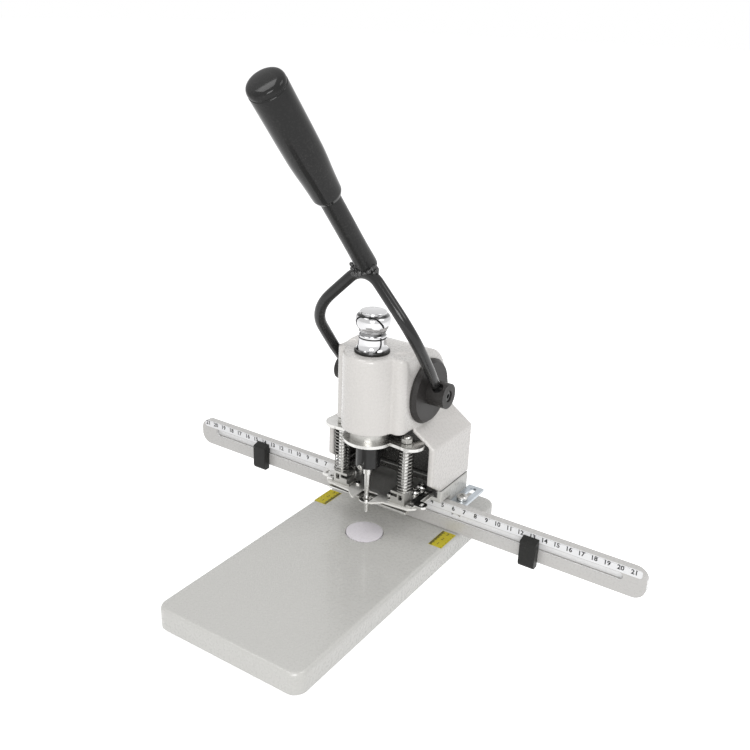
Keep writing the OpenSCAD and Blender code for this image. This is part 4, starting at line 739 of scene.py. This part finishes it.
rodSettings = {
    "rings": [(6.9, 1.0), (7.8, 1.8), (8.0, 5.0), (7.8, 12.0), (7.6, 20.0), (7.5, 34.0), (7.5, 82.0)],
    "rounds": [0, 1.0, 2, 4, 5, 5, 0],
}


def makeRod(settings):
    rod = turnProfile(roundProfile(settings["rings"], settings["rounds"], 4), 64)
    placePiece(rod, at(*rodPlace), rodLean)
    finishPiece(rod, "LeverRod", "lever", "rodEnamel", ["lever_rod"], 50)


def makeYoke():
    yoke = copyNode("lever_yoke")
    bpy.ops.object.mode_set(mode="EDIT")
    bpy.ops.mesh.select_all(action="SELECT")
    bpy.ops.mesh.tris_convert_to_quads(face_threshold=math.radians(40), shape_threshold=math.radians(60))
    bpy.ops.object.mode_set(mode="OBJECT")
    smooth = yoke.modifiers.new("roundBar", "SUBSURF")
    smooth.levels = smooth.render_levels = 1
    finishPiece(yoke, "LeverYoke", "lever", "blackEnamel", ["lever_yoke"], 60)


weldSettings = {
    "path": [
        (-9.6, -14.5, 246.4), (-8.6, -16.2, 243.8), (-6.2, -17.0, 240.9), (-3.0, -17.4, 241.4), (-0.6, -17.5, 242.4),
        (2.4, -17.4, 243.2), (5.2, -16.8, 244.6), (6.6, -15.4, 246.4), (7.0, -13.6, 247.8), (7.4, -12.4, 249.2),
        (-7.2, -15.4, 244.4), (-6.2, -14.6, 245.0), (8.4, -12.6, 245.6), (9.4, -13.4, 244.2), (8.0, -10.6, 246.4),
    ],
    "each": 5, "jitter": 0.9, "low": 1.0, "high": 1.9, "seed": 7,
}


def makeWeld(settings):
    # a string of small drops of weld where the rod sits on the bent bar
    random.seed(settings["seed"])
    deselectAll()
    bpy.ops.mesh.primitive_ico_sphere_add(subdivisions=2, radius=0.001)
    drop = bpy.context.active_object
    bpy.ops.object.mode_set(mode="EDIT")
    bpy.ops.mesh.select_all(action="SELECT")
    bpy.ops.transform.vertex_random(offset=0.0001, seed=4)
    bpy.ops.object.mode_set(mode="OBJECT")
    drops = []
    for spot in settings["path"]:
        for index in range(settings["each"]):
            nudge = Vector([random.uniform(-1, 1) * settings["jitter"] for axis in range(3)])
            copy = duplicate(drop)
            size = random.uniform(settings["low"], settings["high"])
            turn = Matrix.Rotation(random.uniform(0, 6.28), 4, (random.random(), random.random(), 1))
            stretch = Matrix.Diagonal((size * 1.25, size, size * 0.85, 1))
            copy.matrix_world = Matrix.Translation(at(*(Vector(spot) + nudge))) @ turn @ stretch
            drops.append(copy)
    bpy.data.objects.remove(drop)
    finishPiece(joinPieces(drops), "LeverWeld", "lever", "weldScale", (), 60)


makeGrip(leverSettings)
makeRod(rodSettings)
makeYoke()
makeWeld(weldSettings)
print("lever ready")

# ---- knob, collar and ring on the head ----

knobSettings = {
    "knobZ": 190.7,
    "knob": [
        (10.4, 0.0), (10.6, 0.4), (10.6, 1.7), (9.9, 2.2), (9.9, 4.2), (10.7, 4.8), (10.9, 6.2), (11.9, 7.4),
        (13.0, 9.4), (13.5, 11.6), (13.6, 13.4), (13.2, 15.4), (12.1, 17.0), (10.9, 17.7), (10.3, 17.9), (9.9, 18.5),
        (10.2, 19.1), (10.0, 19.8), (9.5, 20.0),
    ],
    "collarZ": 180.2,
    "collar": [(13.0, 0.0), (13.0, 1.1), (12.6, 1.5), (11.4, 2.9), (10.8, 4.8), (10.6, 7.0), (10.6, 10.1)],
    "knobRounds": [0] + [1.2] * 17 + [0], "collarRounds": [0, 0.3, 0.8, 2, 3, 3, 0],
}


def makeKnob(settings):
    knob = turnProfile(roundProfile(settings["knob"], settings["knobRounds"], 3), 96)
    placePiece(knob, at(0, 0, settings["knobZ"]))
    finishPiece(knob, "AdjustingKnob", "knob", "chromePlate", ["adjusting_knob"], 40)
    collar = turnProfile(roundProfile(settings["collar"], settings["collarRounds"], 4), 96)
    placePiece(collar, at(0, 0, settings["collarZ"]))
    finishPiece(collar, "KnobCollar", "frame", "chromePlate", ["knob_collar"], 40)


makeKnob(knobSettings)
print("knob ready")

# ---- springs ----

springSettings = {
    "x": 30.0, "y": 7.5, "low": 66.4, "high": 105.9, "wire": 0.46, "coil": 5.9, "turns": 13, "stroke": 18.45,
    "sides": 8, "steps": 28,
}


def makeSpring(side, settings):
    wire, low, high = settings["wire"], settings["low"], settings["high"]
    closed = wire * 2.04
    start = low + wire
    end = high - wire
    pitch = (end - start - closed * 2) / settings["turns"]
    parts = []
    coils = ((start, closed, 1), (start + closed, pitch, settings["turns"]), (end - closed, closed, 1))
    for base, rise, turns in coils:
        deselectAll()
        bpy.ops.mesh.primitive_circle_add(vertices=settings["sides"], radius=wire / 1000,
                                          location=(settings["coil"] / 1000, 0, base / 1000),
                                          rotation=(math.pi / 2, 0, 0))
        part = bpy.context.active_object
        bpy.ops.object.transform_apply(location=True, rotation=True, scale=True)
        screw = part.modifiers.new("coil", "SCREW")
        screw.angle = math.tau
        screw.screw_offset = rise / 1000
        screw.iterations = turns
        screw.steps = screw.render_steps = settings["steps"]
        screw.use_smooth_shade = True
        applyModifiers(part)
        parts.append(part)
    spring = joinPieces(parts)
    bpy.ops.object.mode_set(mode="EDIT")
    bpy.ops.mesh.select_all(action="SELECT")
    bpy.ops.mesh.remove_doubles(threshold=0.00001)
    bpy.ops.mesh.fill_holes(sides=settings["sides"])
    bpy.ops.mesh.normals_make_consistent(inside=False)
    bpy.ops.object.mode_set(mode="OBJECT")
    placePiece(spring, at(settings["x"] * side, settings["y"], 0))
    name = "ReturnSpringRight" if side > 0 else "ReturnSpringLeft"
    node = "return_spring_right" if side > 0 else "return_spring_left"
    finishPiece(spring, name, "frame", "springSteel", [node], 60)
    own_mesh(spring)


makeSpring(1, springSettings)
makeSpring(-1, springSettings)
print("springs ready")

# ---- plates, arms, brackets and small parts with broken edges ----

softParts = [                                # node, piece, body, edge in millimetres, finish
    ("stripper_plate", "StripperPlate", "frame", 0.45, "plateSteel"),
    ("bit_guide_plate", "BitGuidePlate", "frame", 0.35, "brightSteel"),
    ("plate_arm_left", "PlateArmLeft", "frame", 0.3, "brightSteel"),
    ("plate_arm_right", "PlateArmRight", "frame", 0.3, "brightSteel"),
    ("spring_bracket_left", "SpringBracketLeft", "frame", 0.3, "rolledSteel"),
    ("spring_bracket_right", "SpringBracketRight", "frame", 0.3, "rolledSteel"),
    ("fence_bar", "FenceBar", "fence", 0.45, "fencePaint"),
    ("fence_bracket_left", "FenceBracketLeft", "fence", 0.4, "zincPlate"),
    ("fence_bracket_right", "FenceBracketRight", "fence", 0.4, "zincPlate"),
    ("side_stop_left", "SideStopLeft", "stop_left", 0.8, "stopPlastic"),
    ("side_stop_right", "SideStopRight", "stop_right", 0.8, "stopPlastic"),
    ("side_disc_left", "SideDiscLeft", "lever", 0.6, "charcoalPlastic"),
    ("side_disc_right", "SideDiscRight", "lever", 0.6, "charcoalPlastic"),
    ("drill_chuck", "DrillChuck", "spindle", 0.4, "blackEnamel"),
    ("cutting_pad", "CuttingPad", "pad", 0.4, "padNylon"),
    ("hub_left", "HubLeft", "lever", 0.5, "charcoalPlastic"),
    ("hub_right", "HubRight", "lever", 0.5, "charcoalPlastic"),
    ("knob_ring", "KnobRing", "frame", 0.3, "stopPlastic"),
    ("rod_nuts", "RodNuts", "frame", 0.3, "rolledSteel"),
    ("clamp_screws", "ClampScrews", "frame", 0.3, "brightSteel"),
    ("scale_strip", "ScaleStrip", "fence", 0.08, "printedStrip"),
]
for nodeName, name, body, width, finish in softParts:
    softPlate(nodeName, name, body, width, finish)
print("plates ready")

# ---- lift plate: the node's plate with a web in front of its ears ----

liftSettings = {
    "web": (14.0, 30.0), "frontMid": -1.0, "frontEar": -2.6, "rear": 12.0, "low": 106.0, "high": 108.5, "edge": 0.7,
}


def makeLiftPlate(settings):
    plate = copyNode("lift_plate")
    for side in (-1, 1):
        x0, x1 = settings["web"]
        deselectAll()
        bpy.ops.mesh.primitive_plane_add(size=1, location=(0, 0, 0))
        web = bpy.context.active_object
        corners = {(-1, -1): (x0, settings["frontMid"]), (1, -1): (x1, settings["frontEar"]),
                   (-1, 1): (x0, settings["rear"]), (1, 1): (x1, settings["rear"])}
        for vertex in web.data.vertices:
            x, y = corners[(1 if vertex.co.x > 0 else -1, 1 if vertex.co.y > 0 else -1)]
            vertex.co = at(x * side, y, settings["low"])
        bpy.ops.object.mode_set(mode="EDIT")
        bpy.ops.mesh.select_all(action="SELECT")
        rise = (0, 0, (settings["high"] - settings["low"]) / 1000)
        bpy.ops.mesh.extrude_region_move(TRANSFORM_OT_translate={"value": rise})
        closeShape()
        weldOn = plate.modifiers.new("webOn", "BOOLEAN")
        weldOn.operation = "UNION"
        weldOn.solver = "EXACT"
        weldOn.object = web
        applyModifiers(plate)
        bpy.data.objects.remove(web)
    addBevel(plate, settings["edge"])
    finishPiece(plate, "LiftPlate", "quill", "brightSteel", ["lift_plate"], 40, weighted=True)


makeLiftPlate(liftSettings)

# ---- round screw heads on the stripper plate ----

screwSettings = {
    "spots": [(-30, 25), (-30, 35.5), (30, 25), (30, 35.5)], "plateTop": 55.6,
    "profile": [(2.0, -5.0), (2.0, 0.0), (4.5, 0.02), (4.5, 1.4), (4.1, 2.8), (3.1, 3.9), (1.9, 4.35), (1.7, 4.2),
                (1.6, 2.6)],
}


def makePlateScrews(settings):
    head = turnProfile(settings["profile"], 40)
    screws = []
    for x, y in settings["spots"]:
        copy = duplicate(head)
        placePiece(copy, at(x, y, settings["plateTop"]))
        screws.append(copy)
    bpy.data.objects.remove(head)
    finishPiece(joinPieces(screws), "PlateScrews", "frame", "brightSteel", ["plate_screws"], 35)


makePlateScrews(screwSettings)
print("screws ready")

# ---- numbers and lines on the strip, lines on the yellow scales ----

numberSettings = {
    "first": 1, "last": 21, "step": 10.0, "rightShift": -2.4, "leftShift": 0.4, "middleZ": 44.1, "height": 3.9,
    "front": 40.6, "bold": 0.16, "ink": 0.03, "tickHeight": 1.1, "tickWidth": 0.16, "tickTop": 46.3,
    "tickFrom": -210, "tickTo": 210,
}


digitShare = 0.73                            # height of a digit as a share of the text's size


def makeText(text, height, ink=0.0, bold=0.0, align="LEFT"):
    deselectAll()
    bpy.ops.object.text_add(location=(0, 0, 0))
    label = bpy.context.active_object
    label.data.body = text
    label.data.size = height / (1000 * digitShare)
    label.data.extrude = ink / 1000
    label.data.offset = bold / 1000
    label.data.align_x = align
    label.data.resolution_u = 3
    pick(label)
    bpy.ops.object.convert(target="MESH")
    return bpy.context.active_object


def makeNumber(text, x, settings):
    # one number of the strip, its middle at x
    label = makeText(text, settings["height"], settings["ink"], settings["bold"])
    xs = [v.co.x for v in label.data.vertices]
    ys = [v.co.y for v in label.data.vertices]
    middle = Vector(((min(xs) + max(xs)) / 2, (min(ys) + max(ys)) / 2, 0))
    turn = Matrix.Rotation(math.pi / 2, 4, "X")
    spot = Matrix.Translation(at(x, settings["front"], settings["middleZ"]))
    label.matrix_world = spot @ turn @ Matrix.Translation(-middle)
    return label


def makeTicks(x0, z1, width, height, count, step, front, depth):
    # a row of thin standing lines, modelled once and repeated along X
    deselectAll()
    bpy.ops.mesh.primitive_plane_add(size=1, location=(0, 0, 0))
    ticks = bpy.context.active_object
    bpy.ops.object.mode_set(mode="EDIT")
    bpy.ops.mesh.select_all(action="SELECT")
    bpy.ops.transform.resize(value=(width / 1000, height / 1000, 1), center_override=(0, 0, 0))
    bpy.ops.mesh.extrude_region_move(TRANSFORM_OT_translate={"value": (0, 0, depth / 1000)})
    closeShape()
    ticks.matrix_world = Matrix.Translation(at(x0, front, z1 - height / 2)) @ Matrix.Rotation(math.pi / 2, 4, "X")
    pick(ticks)
    bpy.ops.object.transform_apply(location=True, rotation=True, scale=True)
    row = ticks.modifiers.new("row", "ARRAY")
    row.count = count
    row.use_relative_offset = False
    row.use_constant_offset = True
    row.constant_offset_displace = (step / 1000, 0, 0)
    applyModifiers(ticks)
    return ticks


def makeStripPrint(settings):
    labels = []
    for number in range(settings["first"], settings["last"] + 1):
        for side in (-1, 1):
            shift = settings["rightShift"] if side > 0 else settings["leftShift"]
            x = side * (number * settings["step"] + shift)
            labels.append(makeNumber(str(number), x, settings))
    numbers = joinPieces(labels)
    finishPiece(numbers, "StripNumbers", "fence", "printedInk", (), 30)
    fine = makeTicks(settings["tickFrom"], settings["tickTop"], settings["tickWidth"], settings["tickHeight"] * 0.55,
                     settings["tickTo"] - settings["tickFrom"] + 1, 1.0, settings["front"], settings["ink"])
    coarse = makeTicks(settings["tickFrom"], settings["tickTop"], settings["tickWidth"] * 1.5, settings["tickHeight"],
                       (settings["tickTo"] - settings["tickFrom"]) // 10 + 1, 10.0, settings["front"], settings["ink"])
    finishPiece(joinPieces([fine, coarse]), "StripLines", "fence", "printedInk", (), 30)


makeStripPrint(numberSettings)

depthSettings = {
    "inner": 51.2, "length": 2.0, "longLength": 3.2, "outer": 62.6, "y0": 14.8, "y1": 37.4, "step": 0.8, "top": 22.2,
    "width": 0.56, "ink": 0.05, "marks": {"3": 34.5, "2": 26.6, "1": 18.7}, "markHeight": 3.4, "markX": 57.2,
    "markDrop": 1.2,
}


def makeDepthPrint(side, settings):
    # dark lines along both long edges of a yellow scale, with small numbers between
    parts = []
    count = int((settings["y1"] - settings["y0"]) / settings["step"]) + 1
    for index in range(count):
        y = settings["y0"] + index * settings["step"]
        reach = settings["longLength"] if index % 5 == 0 else settings["length"]
        rows = [(settings["inner"], settings["inner"] + reach)]
        if index % 5 == 0:
            rows.append((settings["outer"] - 1.0, settings["outer"]))
        for x0, x1 in rows:
            deselectAll()
            bpy.ops.mesh.primitive_plane_add(size=1, location=(0, 0, 0))
            tick = bpy.context.active_object
            shape = Matrix.Diagonal(((x1 - x0) / 1000, settings["width"] / 1000, 1, 1))
            spot = at(side * (x0 + x1) / 2, y, settings["top"] + settings["ink"])
            tick.matrix_world = Matrix.Translation(spot) @ shape
            parts.append(tick)
    for text, y in settings["marks"].items():
        mark = makeText(text, settings["markHeight"], align="CENTER")
        spot = at(side * settings["markX"], y - settings["markDrop"], settings["top"] + settings["ink"])
        mark.matrix_world = Matrix.Translation(spot)
        parts.append(mark)
    name = "DepthLinesRight" if side > 0 else "DepthLinesLeft"
    finishPiece(joinPieces(parts), name, "frame", "printedInk", (), 30)


makeDepthPrint(1, depthSettings)
makeDepthPrint(-1, depthSettings)
print("prints ready")
